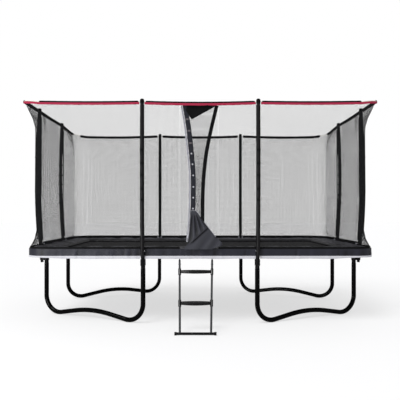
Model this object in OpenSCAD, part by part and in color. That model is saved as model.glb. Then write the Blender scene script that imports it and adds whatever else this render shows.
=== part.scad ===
// Rectangular garden trampoline with a safety net, a spring pad and a hook-on ladder.
// The ladder side is -Y; the ground is z = 0. All sizes in mm.

/* [Frame] */
// Length of the frame between tube centrelines
frame_length = 4220; // [4100:10:4400]
// Width of the frame between tube centrelines
frame_width = 2390; // [2300:10:2500]
// Height of the frame tube's centreline
frame_height = 870; // [850:5:900]
// Outer diameter of the frame tube
frame_tube = 50; // [48:1:50]
// Wall of the frame tube
frame_wall = 1.8; // [1.5:0.1:2.2]
// Bend radius of the frame corners
frame_bend = 200; // [160:10:260]

/* [Legs] */
// Distance of the long-side uprights from the middle
leg_x = 706; // [660:2:760]
// Distance of the short-side uprights from the middle
leg_y = 533; // [500:1:560]
// Outer diameter of the leg tube
leg_tube = 60; // [60:1:64]
// Wall of the leg tube
leg_wall = 2; // [1.8:0.1:2]
// Bend radius at the foot of each upright
leg_bend = 220; // [190:5:240]
// Height of the tube centreline at the middle of a leg
leg_hump = 100; // [85:5:120]
// Height of the top end of the leg tube
leg_top = 685; // [660:5:700]

/* [Net poles] */
// Outer diameter of the pole tube
pole_tube = 38; // [36:1:38]
// Outer diameter of the foam sleeve
foam_diameter = 50; // [48:1:50]
// Farthest distance of a pole from the frame centreline
pole_reach = 121; // [121:1:125]
// Radius of the pole's bow
pole_bow = 13500; // [13000:100:14000]
// Height of the top rod along the long sides
ring_low = 2722; // [2700:2:2740]
// Height of the top rod along the short sides
ring_high = 2772; // [2740:2:2780]

/* [Mat and springs] */
// Gap between the frame centreline and the mat's edge
mat_gap = 225; // [220:1:230]
// Springs along each long side
springs_long = 32; // [28:2:34]
// Springs along each short side
springs_short = 16; // [14:2:16]
// Outer diameter of the spring coil
coil_diameter = 20; // [18:1:20]

/* [Pad] */
// Overhang of the pad beyond the frame centreline
pad_over = 55; // [53:1:56]
// Width of the pad
pad_width = 300; // [280:5:320]
// Thickness of the pad
pad_thick = 20; // [18:1:24]
// Height of the skirt's lower edge
skirt_bottom = 810; // [805:1:820]

/* [Ladder] */
// Distance of the ladder's middle to the right of the frame's
ladder_at = -53; // [-60:1:60]
// Distance of the ladder's foot in front of the frame centreline
ladder_reach = 555; // [520:5:580]
// Rise from one step to the next
step_rise = 338; // [325:1:340]
// Spacing of the stiles at the top
ladder_top_width = 400; // [396:1:404]
// Spacing of the stiles at the foot
ladder_foot_width = 350; // [346:1:360]
// Outer diameter of a stile
stile_tube = 25; // [24.8:0.1:25]

/* [Hidden] */
fx = frame_length / 2;                        // frame centreline, X
fy = frame_width / 2;                         // frame centreline, Y
tee_tube = frame_tube + 7;                    // sleeve of a tee connector
stub_tube = leg_tube - 2 * leg_wall - 0.8;    // stub that enters the leg
apex_z = 1960;                                // height where a pole stands upright
pole_low = 695;
clamp_low = 724;
clamp_high = 798;
foam_low = clamp_high + 5;
cap_diameter = 52;
cap_rise = 34;                                // cap top above the rod
rod = 10;
ring_x = fx + 100;
ring_y = fy + 100;
ring_bend = 250;
sleeve_diameter = 30;
net_thick = 1.2;
net_low = 936;
net_fold = 1500;
net_high = 2690;
net_corner = 150;                             // panels stop this far short of the frame corner
strap_heights = [1532, 1664, 1827, 1974, 2135];
wire = 3.2;
pad_low = frame_height + frame_tube / 2 + 17;
pad_top = pad_low + pad_thick;
spring_z = pad_low - coil_diameter / 2 - 1;   // axis of the springs
hook_r = 6.5;
ring_t = 4;                                   // thickness of the triangular rings
ring_z = spring_z - hook_r - ring_t / 2;      // underside of the triangular rings
mat_top = ring_z - 3.05;
mat_thick = 2;
mx = fx - mat_gap;                            // mat edge, X
my = fy - mat_gap;                            // mat edge, Y
mat_chamfer = 60;
pitch_long = (2 * mx - 150) / springs_long;
pitch_short = (2 * my - 150) / springs_short;
hole_in = 10;                                 // spring holes, inwards of the tube's centre
tip_out = 27;                                 // hook seat of a ring, outwards of the mat's edge
foot_bar = 30;
hook_mean = frame_tube / 2 + 2.3;
hook_drop = 80;                               // where the hook's strap meets the stile
tail_z = frame_height - hook_drop;
foot_cap = 38;
foot_z = foot_cap / 2;
// the frame stands this far back so that the whole part is centred on the origin
yc = (ladder_reach + foot_cap / 2 - pole_reach - foam_diameter / 2 - 3) / 2;

// where the entrance's edges run: [height, left edge, right edge]
gate = [[2676, -214, 183], [2400, -168, 115], [2115, -139, 56], [1870, -114, 27], [1620, -112, 12],
    [1400, -119, 9], [1262, -128, 9]];
gate_foot = gate[len(gate) - 1];

// ---- shared shapes ----

module placed() translate([0, yc, 0]) children();

// the two long sides: the child is drawn for the -Y side, its outside towards -Y
module front_side() translate([0, -fy, 0]) children();
module rear_side() mirror([0, 1, 0]) front_side() children();

// the two short sides: the child is drawn like a long side and turned
module right_side() translate([fx, 0, 0]) rotate([0, 0, 90]) children();
module left_side() mirror([1, 0, 0]) right_side() children();

module four_ways() {
    for (sx = [0, 1], sy = [0, 1]) mirror([sx, 0, 0]) mirror([0, sy, 0]) children();
}

// a child at the poles, +Y pointing at the mat, the origin on the frame's centreline
module at_long_poles() for (s = [-1, 1]) {
    front_side() translate([s * leg_x, 0, 0]) children();
    rear_side() translate([s * leg_x, 0, 0]) children();
}
module at_short_poles() for (s = [-1, 1]) {
    left_side() translate([s * leg_y, 0, 0]) children();
    right_side() translate([s * leg_y, 0, 0]) children();
}
module at_poles() {
    at_long_poles() children();
    at_short_poles() children();
}

// a bend in the XY plane about the origin
module bend(radius, section, from, sweep, steps = 96)
    rotate([0, 0, from]) rotate_extrude(angle = sweep, $fn = steps)
        translate([radius, 0]) circle(d = section, $fn = 40);

function pole_out(z) = pole_reach - pole_bow + sqrt(pow(pole_bow, 2) - pow(z - apex_z, 2));
function pole_lean(z) = asin((z - apex_z) / pole_bow);

// a round bar that follows the bow of a pole between two heights; the lower length is a hair
// thinner and enters the upper one by half a millimetre at the apex
module bowed(section, z0, z1) {
    a0 = asin((z0 - apex_z) / pole_bow);
    a1 = asin((z1 - apex_z) / pole_bow);
    lap = 0.5 / pole_bow * 180 / PI;
    translate([0, pole_bow - pole_reach, apex_z]) rotate([90, 0, -90]) {
        rotate([0, 0, a0]) rotate_extrude(angle = lap - a0, $fn = 720)
            translate([pole_bow, 0]) circle(d = section - 0.1, $fn = 40);
        rotate_extrude(angle = a1, $fn = 720) translate([pole_bow, 0]) circle(d = section, $fn = 40);
    }
}

module bowed_tube(outer, inner, z0, z1) difference() {
    bowed(outer, z0, z1);
    bowed(inner, z0 - 5, z1 + 5);
}

// a child on a pole's centreline at one height, leaning with it
module on_pole(z) translate([0, -pole_out(z), z]) rotate([-pole_lean(z), 0, 0]) children();

// ---- frame ----

module corner_path(d) {
    run_x = fx - frame_bend - leg_x - 3;
    run_y = fy - frame_bend - leg_y - 3;
    translate([leg_x + 3, -fy, frame_height]) rotate([0, 90, 0]) cylinder(d = d, h = run_x, $fn = 40);
    translate([fx - frame_bend, -fy + frame_bend, frame_height]) bend(frame_bend, d, -90, 90);
    translate([fx, -leg_y - 3, frame_height]) rotate([90, 0, 0]) cylinder(d = d, h = run_y, $fn = 40);
}

// screws come up through the underside of a tee's sleeve, this far from its middle
screw_at = 58;

module spring_holes(count, pitch)
    for (i = [0 : count - 1])
        translate([(i - (count - 1) / 2) * pitch, hole_in, frame_height + 8])
            cylinder(d = 7, h = 30, $fn = 32);

module screw_holes(x)
    translate([x, 0, frame_height - 40]) cylinder(d = 6.2, h = 40, $fn = 32);

module frame_corner() color([0.06, 0.06, 0.065]) difference() {
    corner_path(frame_tube);
    corner_path(frame_tube - 2 * frame_wall);
    front_side() spring_holes(springs_long, pitch_long);
    right_side() spring_holes(springs_short, pitch_short);
    front_side() screw_holes(leg_x + screw_at);
    right_side() screw_holes(-leg_y - screw_at);
}

module frame_corner_fr() placed() frame_corner();
module frame_corner_fl() placed() mirror([1, 0, 0]) frame_corner();
module frame_corner_rr() placed() mirror([0, 1, 0]) frame_corner();
module frame_corner_rl() placed() mirror([1, 0, 0]) mirror([0, 1, 0]) frame_corner();

module frame_rail(half, count, pitch) color([0.06, 0.06, 0.065]) difference() {
    translate([-half, 0, frame_height]) rotate([0, 90, 0])
        cylinder(d = frame_tube, h = 2 * half, $fn = 40);
    translate([-half - 1, 0, frame_height]) rotate([0, 90, 0])
        cylinder(d = frame_tube - 2 * frame_wall, h = 2 * half + 2, $fn = 40);
    spring_holes(count, pitch);
    for (s = [-1, 1]) screw_holes(s * (half + 3 - screw_at));
}

module frame_rail_front() placed() front_side() frame_rail(leg_x - 3, springs_long, pitch_long);
module frame_rail_rear() placed() rear_side() frame_rail(leg_x - 3, springs_long, pitch_long);
module frame_rail_left() placed() left_side() frame_rail(leg_y - 3, springs_short, pitch_short);
module frame_rail_right() placed() right_side() frame_rail(leg_y - 3, springs_short, pitch_short);

module tee(long_side) {
    count = long_side ? springs_long : springs_short;
    pitch = long_side ? pitch_long : pitch_short;
    at = long_side ? leg_x : leg_y;
    difference() {
        union() {
            translate([-80, 0, frame_height]) rotate([0, 90, 0])
                cylinder(d = tee_tube, h = 160, $fn = 40);
            translate([0, 0, leg_top - 50])
                cylinder(d = stub_tube, h = frame_height - leg_top + 50, $fn = 40);
        }
        translate([-81, 0, frame_height]) rotate([0, 90, 0])
            cylinder(d = frame_tube + 0.2, h = 162, $fn = 40);
        translate([0, 0, leg_top - 51])
            cylinder(d = stub_tube - 2 * frame_wall, h = frame_height - leg_top + 51, $fn = 40);
        for (s = [-1, 1]) screw_holes(s * screw_at);
        for (i = [0 : count - 1])
            if (abs((i - (count - 1) / 2) * pitch - at) < 81)
                translate([(i - (count - 1) / 2) * pitch - at, hole_in, frame_height + 8])
                    cylinder(d = 9, h = 30, $fn = 32);
    }
}

module tee_connectors() color([0.07, 0.07, 0.075]) placed() {
    for (m = [0, 1]) mirror([m, 0, 0]) {
        front_side() translate([leg_x, 0, 0]) tee(true);
        rear_side() translate([leg_x, 0, 0]) tee(true);
    }
    for (m = [0, 1]) mirror([0, m, 0]) {
        right_side() translate([leg_y, 0, 0]) tee(false);
        left_side() translate([leg_y, 0, 0]) tee(false);
    }
}

module tee_screws() color([0.45, 0.45, 0.47]) placed() at_poles() for (s = [-1, 1])
    translate([s * screw_at, 0, 0]) {
        translate([0, 0, frame_height - tee_tube / 2 - 4]) cylinder(d = 12, h = 3.8, $fn = 32);
        translate([0, 0, frame_height - tee_tube / 2 - 2]) cylinder(d = 5.8, h = 16, $fn = 32);
    }

// ---- legs ----

leg_span = sqrt(pow(fx - leg_x, 2) + pow(fy - leg_y, 2));
leg_turn = atan2(fy - leg_y, fx - leg_x);
leg_slope = 10;
leg_foot = leg_tube / 2;
leg_a = leg_span / 2 - leg_bend * (1 + sin(leg_slope));
leg_b = leg_hump - leg_foot - leg_bend * (1 - cos(leg_slope));
leg_run = (leg_b * sin(leg_slope) - leg_a * (1 - cos(leg_slope))) / (1 - cos(leg_slope));
leg_crown = (leg_a * sin(leg_slope) - leg_b * cos(leg_slope)) / (1 - cos(leg_slope));

// The straight runs are a hair thinner than the bends and enter them by half a millimetre.
leg_lap = 0.5;

// half of a leg in its own plane: X along the ground, Y up
module leg_half(d, over) {
    translate([0, leg_foot + leg_bend - leg_lap, 0]) rotate([-90, 0, 0])
        cylinder(d = d - 0.6, h = leg_top - leg_foot - leg_bend + leg_lap + over, $fn = 40);
    translate([leg_bend, leg_foot + leg_bend, 0]) bend(leg_bend, d, 180, 90 + leg_slope);
    translate([leg_bend * (1 + sin(leg_slope)), leg_foot + leg_bend * (1 - cos(leg_slope)), 0])
        rotate([0, 0, leg_slope]) translate([-leg_lap, 0, 0]) rotate([0, 90, 0])
            cylinder(d = d - 0.6, h = leg_run + 2 * leg_lap, $fn = 40);
}

module leg_path(d, over) {
    leg_half(d, over);
    translate([leg_span / 2, leg_hump - leg_crown, 0])
        bend(leg_crown, d, 90 - leg_slope, 2 * leg_slope, 240);
    translate([leg_span, 0, 0]) mirror([1, 0, 0]) leg_half(d, over);
}

module leg() color([0.03, 0.03, 0.033]) translate([leg_x, -fy, 0]) rotate([0, 0, leg_turn])
    rotate([90, 0, 0]) difference() {
        leg_path(leg_tube, 0);
        leg_path(leg_tube - 2 * leg_wall, 1);
    }

module leg_fr() placed() leg();
module leg_fl() placed() mirror([1, 0, 0]) leg();
module leg_rr() placed() mirror([0, 1, 0]) leg();
module leg_rl() placed() mirror([1, 0, 0]) mirror([0, 1, 0]) leg();

// ---- net poles ----

// a pole ends this far below the rod that it carries
pole_short_of = 22;

module pole(ring) bowed_tube(pole_tube, pole_tube - 3, pole_low, ring - pole_short_of);
module foam(ring) bowed_tube(foam_diameter, pole_tube + 0.3, foam_low, ring - pole_short_of);

module poles_long() color([0.05, 0.05, 0.055]) placed() at_long_poles() pole(ring_low);
module poles_short() color([0.05, 0.05, 0.055]) placed() at_short_poles() pole(ring_high);

module foam_sleeves() color([0.16, 0.16, 0.17]) placed() {
    at_long_poles() foam(ring_low);
    at_short_poles() foam(ring_high);
}

// a cap plugs into the pole and carries the rod
module cap(ring) {
    top = ring - pole_short_of;
    translate([0, -pole_out(top), 0]) difference() {
        union() {
            translate([0, 0, top]) rotate([-pole_lean(top), 0, 0]) translate([0, 0, -30])
                cylinder(d = pole_tube - 3.6, h = 34, $fn = 40);
            translate([0, 0, top + 1.8])
                cylinder(d = cap_diameter, h = ring + cap_rise - 13.8 - top, $fn = 40);
            translate([0, 0, ring + cap_rise - 12])
                cylinder(d1 = cap_diameter, d2 = cap_diameter - 16, h = 12, $fn = 40);
        }
        translate([-40, pole_out(top) - 100, ring]) rotate([0, 90, 0])
            cylinder(d = rod + 2.4, h = 80, $fn = 32);
    }
}

module pole_caps() color([0.04, 0.04, 0.045]) placed() {
    at_long_poles() cap(ring_low);
    at_short_poles() cap(ring_high);
}

// two bolts cross the web between the tee's stub and the pole
bolt_rows = [clamp_low + 16, clamp_high - 16];
function web_mid(z) = (pole_out(z) - pole_tube / 2 + stub_tube / 2) / 2;

module clamp() difference() {
    union() {
        translate([0, 0, clamp_low]) cylinder(d = stub_tube + 10, h = clamp_high - clamp_low, $fn = 40);
        on_pole((clamp_low + clamp_high) / 2) translate([0, 0, (clamp_low - clamp_high) / 2 + 2])
            cylinder(d = pole_tube + 12, h = clamp_high - clamp_low - 4, $fn = 40);
        translate([-23, -pole_out(clamp_low) + 4, clamp_low + 1])
            cube([46, pole_out(clamp_low) - 12, clamp_high - clamp_low - 2]);
    }
    translate([0, 0, clamp_low - 5])
        cylinder(d = stub_tube + 0.2, h = clamp_high - clamp_low + 10, $fn = 40);
    on_pole((clamp_low + clamp_high) / 2) translate([0, 0, -60])
        cylinder(d = pole_tube + 0.5, h = 120, $fn = 40);
    for (z = bolt_rows) translate([-40, -web_mid(z), z]) rotate([0, 90, 0])
        cylinder(d = 8.6, h = 80, $fn = 32);
}

module pole_clamps() color([0.05, 0.05, 0.055]) placed() at_poles() clamp();

module clamp_bolts() color([0.55, 0.56, 0.58]) placed() at_poles()
    for (z = bolt_rows) translate([0, -web_mid(z), z]) rotate([0, 90, 0]) {
        translate([0, 0, -27]) cylinder(d = 8, h = 58, $fn = 32);
        translate([0, 0, -28.4]) cylinder(d = 14, h = 5.3, $fn = 6);
        translate([0, 0, 23.1]) cylinder(d = 14, h = 5, $fn = 6);
    }

// ---- top ring ----

corner_x = ring_x - ring_bend;
corner_y = ring_y - ring_bend;
joint_gap = 1;

// a bend rises from a long side to a short side, so its plane tips about the corner's diagonal
ring_tip = asin((ring_high - ring_low) / (sqrt(2) * ring_bend));
module ring_corner() translate([corner_x, -corner_y, (ring_low + ring_high) / 2])
    rotate(-ring_tip, [1, -1, 0]) children();

module ring_rods() color([0.82, 0.80, 0.74]) placed() {
    for (m = [0, 1]) mirror([0, m, 0]) translate([0, -ring_y, ring_low]) {
        translate([-leg_x + 1, 0, 0]) rotate([0, 90, 0])
            cylinder(d = rod, h = 2 * leg_x - 2, $fn = 32);
        for (n = [0, 1]) mirror([n, 0, 0]) translate([leg_x, 0, 0]) rotate([0, 90, 0])
            cylinder(d = rod, h = corner_x - leg_x - joint_gap, $fn = 32);
    }
    for (m = [0, 1]) mirror([m, 0, 0]) {
        translate([ring_x, corner_y - joint_gap, ring_high]) rotate([90, 0, 0])
            cylinder(d = rod, h = 2 * corner_y - 2 * joint_gap, $fn = 32);
    }
    four_ways() ring_corner() bend(ring_bend, rod, -90, 90);
}

bare_sleeve = 45;     // bare rod each side of a pole
bare_band = 31;       // the band comes closer to the pole
bare_corner = 6;      // bare rod short of a corner bend

module sleeve_run(length) rotate([0, 90, 0]) difference() {
    cylinder(d = sleeve_diameter, h = length, $fn = 36);
    translate([0, 0, -1]) cylinder(d = rod + 0.6, h = length + 2, $fn = 32);
}

// the band hangs from the sleeve's outer face
band_out = sleeve_diameter / 2 + 0.1;
band_drop = 36;
band_high = 28;
module band_run(length) translate([0, -band_out - 2, -band_drop]) cube([length, 2, band_high]);
// it runs on over the first part of each front bend
module band_bend() rotate([0, 0, -90]) rotate_extrude(angle = 33, $fn = 96)
    translate([ring_bend + band_out, -band_drop]) square([2, band_high]);

// the covered stretches of one straight side with poles at plus and minus `at`
module side_stretches(at, corner, as_band) {
    bare = as_band ? bare_band : bare_sleeve;
    translate([-at + bare, 0, 0]) stretch(2 * (at - bare), as_band);
    for (n = [0, 1]) mirror([n, 0, 0])
        translate([at + bare, 0, 0]) stretch(corner - at - bare - bare_corner, as_band);
}

// every straight stretch of the ring, given to one shape
module ring_stretches(as_band) {
    for (m = [0, 1]) mirror([0, m, 0]) translate([0, -ring_y, ring_low])
        side_stretches(leg_x, corner_x, as_band);
    for (m = [0, 1]) mirror([m, 0, 0]) translate([ring_x, 0, ring_high]) rotate([0, 0, 90])
        side_stretches(leg_y, corner_y, as_band);
}

module stretch(length, as_band) {
    if (as_band) band_run(length);
    else sleeve_run(length);
}

module net_top_sleeve() color([0.05, 0.05, 0.055]) placed() ring_stretches(false);
module net_top_band() color([0.58, 0.02, 0.08]) placed() {
    ring_stretches(true);
    for (m = [0, 1]) mirror([m, 0, 0]) ring_corner() band_bend();
}

// ---- net ----

// net plane, outwards of the frame's centreline, at the foot, the fold and the top
net_foot_out = 50;
net_fold_out = 80;
net_top_out = 72;
function net_out(z) = z < net_fold
    ? net_foot_out + (net_fold_out - net_foot_out) * (z - net_low) / (net_fold - net_low)
    : net_fold_out + (net_top_out - net_fold_out) * (z - net_fold) / (net_high - net_fold);

// a folded sheet that follows the net plane, drawn along +X
module net_sheet(length, thick, z0, z1, out = 0, share = 1) {
    fold = (z0 < net_fold && z1 > net_fold) ? [[net_out(net_fold), net_fold]] : [];
    edge = concat([[net_out(z0), z0]], fold, [[net_out(z1), z1]]);
    face = [for (p = edge) [-(p[0] * share + out), p[1]]];
    back = [for (i = [len(face) - 1 : -1 : 0]) [face[i][0] + thick, face[i][1]]];
    rotate([90, 0, 90]) linear_extrude(height = length) polygon(concat(face, back));
}

module net_long(x0, x1, top = net_high) translate([x0, 0, 0])
    net_sheet(x1 - x0, net_thick, net_low, top);
side_top = ring_high - band_drop - 1;         // the short sides' net reaches higher

module net_left() color([0.12, 0.12, 0.13]) placed() left_side()
    net_long(-fy + net_corner, fy - net_corner, side_top);
module net_right() color([0.12, 0.12, 0.13]) placed() right_side()
    net_long(-fy + net_corner, fy - net_corner, side_top);
module net_rear() color([0.12, 0.12, 0.13]) placed() rear_side()
    net_long(-fx + net_corner, fx - net_corner);

gate_left = -250;
gate_right = 222;
module net_front() color([0.12, 0.12, 0.13]) placed() front_side() {
    net_long(-fx + net_corner, gate_left);
    net_long(gate_right, fx - net_corner);
}

diagonal = 270;
module net_corners() color([0.12, 0.12, 0.13]) placed() four_ways()
    translate([fx, -fy, 0]) rotate([0, 0, 45]) translate([-diagonal / 2, net_corner / sqrt(2), 0])
        net_sheet(diagonal, net_thick, net_low, net_high, 0, 1 / sqrt(2));

module net_pole_bands() color([0.04, 0.04, 0.045]) placed() at_poles()
    translate([-24, 0, 0]) net_sheet(48, 1.5, net_low + 90, net_high - 4, 1.65);

// a strap round the sleeve and a tab back to the band
module net_pole_straps() color([0.03, 0.03, 0.035]) placed() at_poles() for (z = strap_heights) {
    on_pole(z) translate([0, 0, -13]) difference() {
        cylinder(d = foam_diameter + 5, h = 26, $fn = 40);
        translate([0, 0, -1]) cylinder(d = foam_diameter + 0.2, h = 28, $fn = 40);
    }
    near = pole_out(z) - foam_diameter / 2 - 1.5;
    translate([-12, -near, z - 11]) cube([24, near - net_out(z) - 2, 22]);
}

module net_bottom_hem() color([0.04, 0.04, 0.045]) placed() {
    left_side() translate([-fy + net_corner, 0, 0])
        net_sheet(2 * (fy - net_corner), 1.6, net_low, net_low + 60, 1.75);
    right_side() translate([-fy + net_corner, 0, 0])
        net_sheet(2 * (fy - net_corner), 1.6, net_low, net_low + 60, 1.75);
    rear_side() translate([-fx + net_corner, 0, 0])
        net_sheet(2 * (fx - net_corner), 1.6, net_low, net_low + 60, 1.75);
    front_side() {
        translate([-fx + net_corner, 0, 0])
            net_sheet(fx - net_corner + gate_left, 1.6, net_low, net_low + 60, 1.75);
        translate([gate_right, 0, 0])
            net_sheet(fx - net_corner - gate_right, 1.6, net_low, net_low + 60, 1.75);
    }
}

// ---- entrance ----

// a flat piece of the entrance, cut in the XZ plane at a distance outside the frame
module upright_sheet(out, thick) translate([0, -out, 0]) rotate([90, 0, 0])
    linear_extrude(height = thick) children();

door_out = 40;
tape_out = 92;

module entrance_flap() color([0.10, 0.10, 0.11]) placed() front_side() upright_sheet(door_out, net_thick)
    polygon([[gate_left + 4, 950], [gate_right - 4, 950], [gate_right - 4, 2670], [gate_left + 4, 2670]]);

tape_low = 1020;
// a strip that follows the gate's left (1) or right (2) edge from x + from to x + to
function gate_strip(edge, from, to, foot) = concat([for (g = gate) [g[edge] + from, g[0]]], foot,
    [for (i = [len(gate) - 1 : -1 : 0]) [gate[i][edge] + to, gate[i][0]]]);

module entrance_zip_tape() color([0.62, 0.63, 0.65]) placed() front_side() upright_sheet(tape_out, 1)
    polygon(gate_strip(1, -24, -2, [[gate_foot[1] - 42, tape_low], [gate_foot[1] - 20, tape_low]]));

module entrance_strip_left() color([0.10, 0.11, 0.14]) placed() front_side() upright_sheet(tape_out, 1)
    polygon(gate_strip(1, 0, 60, []));

module entrance_strip_right() color([0.05, 0.05, 0.055]) placed() front_side() upright_sheet(tape_out, 1)
    polygon(gate_strip(2, 0, 38, []));

module entrance_gusset() color([0.05, 0.05, 0.055]) placed() front_side() upright_sheet(tape_out + 2, 1.5)
    polygon([[-218, 2684], [218, 2684], [-103, 2507]]);

module entrance_apron() color([0.10, 0.11, 0.14]) placed() front_side() upright_sheet(tape_out + 2, 2)
    polygon([[-118, 1395], [-50, 1395], [-5, 1335], [46, 1262], [187, 1080], [262, 1015],
        [268, 972], [150, 936], [-198, 936], [-146, 1000]]);

// three side-release buckles down the upper part of the left strip
module entrance_buckles() color([0.45, 0.42, 0.44]) placed() front_side()
    for (b = [[2510, -157], [2370, -134], [2220, -120]])
        translate([b[1], -tape_out - 8.2, b[0]]) difference() {
            translate([-21, 0, -9]) cube([42, 7, 18]);
            for (s = [-1, 1]) translate([s * 14 - 2.5, -1, -6]) cube([5, 9, 12]);
        }

slider_x = -157;
slider_z = 1048;
module zip_slider() color([0.7, 0.7, 0.72]) placed() front_side()
    translate([slider_x, -tape_out - 1.3, slider_z]) {
        translate([-6, -5, 0]) cube([12, 4.9, 16]);
        translate([-2.5, -8, 4]) cube([5, 3.1, 8]);
        translate([-5, -10, -32]) difference() {
            cube([10, 2.1, 42]);
            translate([3, -1, 4]) cube([4, 5, 14]);
        }
    }

// ---- mat ----

module cut_corner_plate(x, y, cut, z0, z1) translate([0, 0, z0]) linear_extrude(height = z1 - z0)
    polygon([[x, y - cut], [x - cut, y], [cut - x, y], [-x, y - cut],
        [-x, cut - y], [cut - x, -y], [x - cut, -y], [x, cut - y]]);

hem = 46;             // width of the webbing border
module mat_inside(gap, z0, z1)
    cut_corner_plate(mx - hem - gap, my - hem - gap, mat_chamfer - hem * 0.586, z0, z1);

module mat() color([0.03, 0.03, 0.033]) placed() mat_inside(0.02, mat_top - mat_thick, mat_top);

module mat_hem() color([0.04, 0.04, 0.045]) placed() difference() {
    cut_corner_plate(mx, my, mat_chamfer, mat_top - mat_thick, mat_top + 3);
    mat_inside(0, mat_top - 5, mat_top + 5);
}

// a triangular ring whose base lies on the hem and whose tip reaches out to a spring
ring_side = 26;
module tri_ring() translate([0, -tip_out + ring_side - 5.6, ring_z]) rotate([0, 0, -90])
    linear_extrude(height = ring_t) difference() {
        circle(r = ring_side, $fn = 3);
        circle(r = ring_side - 8, $fn = 3);
    }

module in_row(count, pitch) for (i = [0 : count - 1])
    translate([(i - (count - 1) / 2) * pitch, 0, 0]) children();

module mat_rings() color([0.6, 0.6, 0.62]) placed() {
    front_side() in_row(springs_long, pitch_long) translate([0, mat_gap, 0]) tri_ring();
    rear_side() in_row(springs_long, pitch_long) translate([0, mat_gap, 0]) tri_ring();
    left_side() in_row(springs_short, pitch_short) translate([0, mat_gap, 0]) tri_ring();
    right_side() in_row(springs_short, pitch_short) translate([0, mat_gap, 0]) tri_ring();
}

// ---- springs ----

hook_seat = mat_gap - tip_out;      // where the hook turns round the ring's tip
coil_from = 36;
coil_to = hook_seat - 22;
turn = 5;

module wire_along(y0, y1, z) translate([0, y0, z]) rotate([-90, 0, 0])
    cylinder(d = wire, h = y1 - y0, $fn = 16);

module wire_turn(y, z, r, from, sweep) translate([0, y, z]) rotate([90, 0, 90])
    rotate([0, 0, from]) rotate_extrude(angle = sweep, $fn = 36) translate([r, 0])
        circle(d = wire, $fn = 16);

module spring() {
    translate([0, coil_from, spring_z]) rotate([-90, 0, 0]) difference() {
        cylinder(d = coil_diameter, h = coil_to - coil_from, $fn = 32);
        translate([0, 0, -1]) cylinder(d = coil_diameter - 5, h = coil_to - coil_from + 2, $fn = 32);
    }
    for (y = [coil_from, coil_to - wire])
        translate([-coil_diameter / 2 + 1.2, y, spring_z - 2])
            cube([coil_diameter - 2.4, wire, 4]);
    wire_along(hole_in + turn, coil_from + 1, spring_z);
    wire_turn(hole_in + turn, spring_z - turn, turn, 90, 90);
    translate([0, hole_in, frame_height + 12])
        cylinder(d = wire, h = spring_z - turn - frame_height - 12, $fn = 16);
    wire_along(coil_to - 1, hook_seat, spring_z);
    wire_turn(hook_seat, spring_z - hook_r, hook_r, -90, 180);
}

module springs_front() color([0.72, 0.72, 0.74]) placed() front_side()
    in_row(springs_long, pitch_long) spring();
module springs_rear() color([0.72, 0.72, 0.74]) placed() rear_side()
    in_row(springs_long, pitch_long) spring();
module springs_left() color([0.72, 0.72, 0.74]) placed() left_side()
    in_row(springs_short, pitch_short) spring();
module springs_right() color([0.72, 0.72, 0.74]) placed() right_side()
    in_row(springs_short, pitch_short) spring();

// ---- pad ----

module rounded_plate(x, y, r, z0, z1) {
    translate([-x, -y + r, z0]) cube([2 * x, 2 * (y - r), z1 - z0]);
    translate([-x + r, -y, z0]) cube([2 * (x - r), 2 * y, z1 - z0]);
    for (sx = [-1, 1], sy = [-1, 1]) translate([sx * (x - r), sy * (y - r), z0])
        cylinder(r = r, h = z1 - z0, $fn = 96);
}

pad_x = fx + pad_over;
pad_y = fy + pad_over;
pad_bend = 240;

// room for the net poles at the pad's edge
module pole_notches(half, z0, z1) at_poles()
    translate([-half, -pole_reach - 60, z0]) cube([2 * half, pole_reach + 60 - 46, z1 - z0]);

module pad_ring() difference() {
    rounded_plate(pad_x, pad_y, pad_bend, pad_low, pad_top);
    cut_corner_plate(pad_x - pad_width, pad_y - pad_width, 50, pad_low - 1, pad_top + 1);
    pole_notches(34, pad_low - 2, pad_top + 2);
}

// the long pads and the short pads meet on a 45 degree seam at each corner
module long_pad() intersection() {
    pad_ring();
    translate([0, 0, 500]) linear_extrude(height = 900)
        polygon([[-pad_x - 97, -pad_y - 100], [pad_x + 97, -pad_y - 100],
            [pad_x - 803, -pad_y + 800], [-pad_x + 803, -pad_y + 800]]);
}

module short_pad() intersection() {
    pad_ring();
    translate([0, 0, 500]) linear_extrude(height = 900)
        polygon([[-pad_x - 100, -pad_y - 97], [-pad_x - 100, pad_y + 97],
            [-pad_x + 800, pad_y - 803], [-pad_x + 800, -pad_y + 803]]);
}

module pad_front() color([0.10, 0.10, 0.12]) placed() long_pad();
module pad_rear() color([0.10, 0.10, 0.12]) placed() mirror([0, 1, 0]) long_pad();
module pad_left() color([0.10, 0.10, 0.12]) placed() short_pad();
module pad_right() color([0.10, 0.10, 0.12]) placed() mirror([1, 0, 0]) short_pad();

hem_top = skirt_bottom + 33;
module skirt_ring(z0, z1, inner, outer) difference() {
    rounded_plate(pad_x + outer, pad_y + outer, pad_bend + outer, z0, z1);
    rounded_plate(pad_x + inner, pad_y + inner, pad_bend + inner, z0 - 1, z1 + 1);
    pole_notches(36, z0 - 2, z1 + 2);
}

module pad_skirt() color([0.06, 0.06, 0.075]) placed() skirt_ring(hem_top + 0.1, pad_top, 0.3, 2.6);
module skirt_hem() color([0.80, 0.80, 0.82]) placed() skirt_ring(skirt_bottom, hem_top, 0.1, 2.8);

// ---- ladder ----

ladder_lean = atan2(ladder_reach - hook_mean, tail_z - foot_z);
ladder_long = sqrt(pow(ladder_reach - hook_mean, 2) + pow(tail_z - foot_z, 2));
ladder_splay = atan2((ladder_top_width - ladder_foot_width) / 2, ladder_long);

// one side of the ladder: the origin at the hook's knee, +Z up the right stile
module stile_frame(s) translate([s * ladder_top_width / 2, -hook_mean, tail_z])
    rotate([-ladder_lean, 0, 0]) rotate([0, s * ladder_splay, 0]) children();

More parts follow.
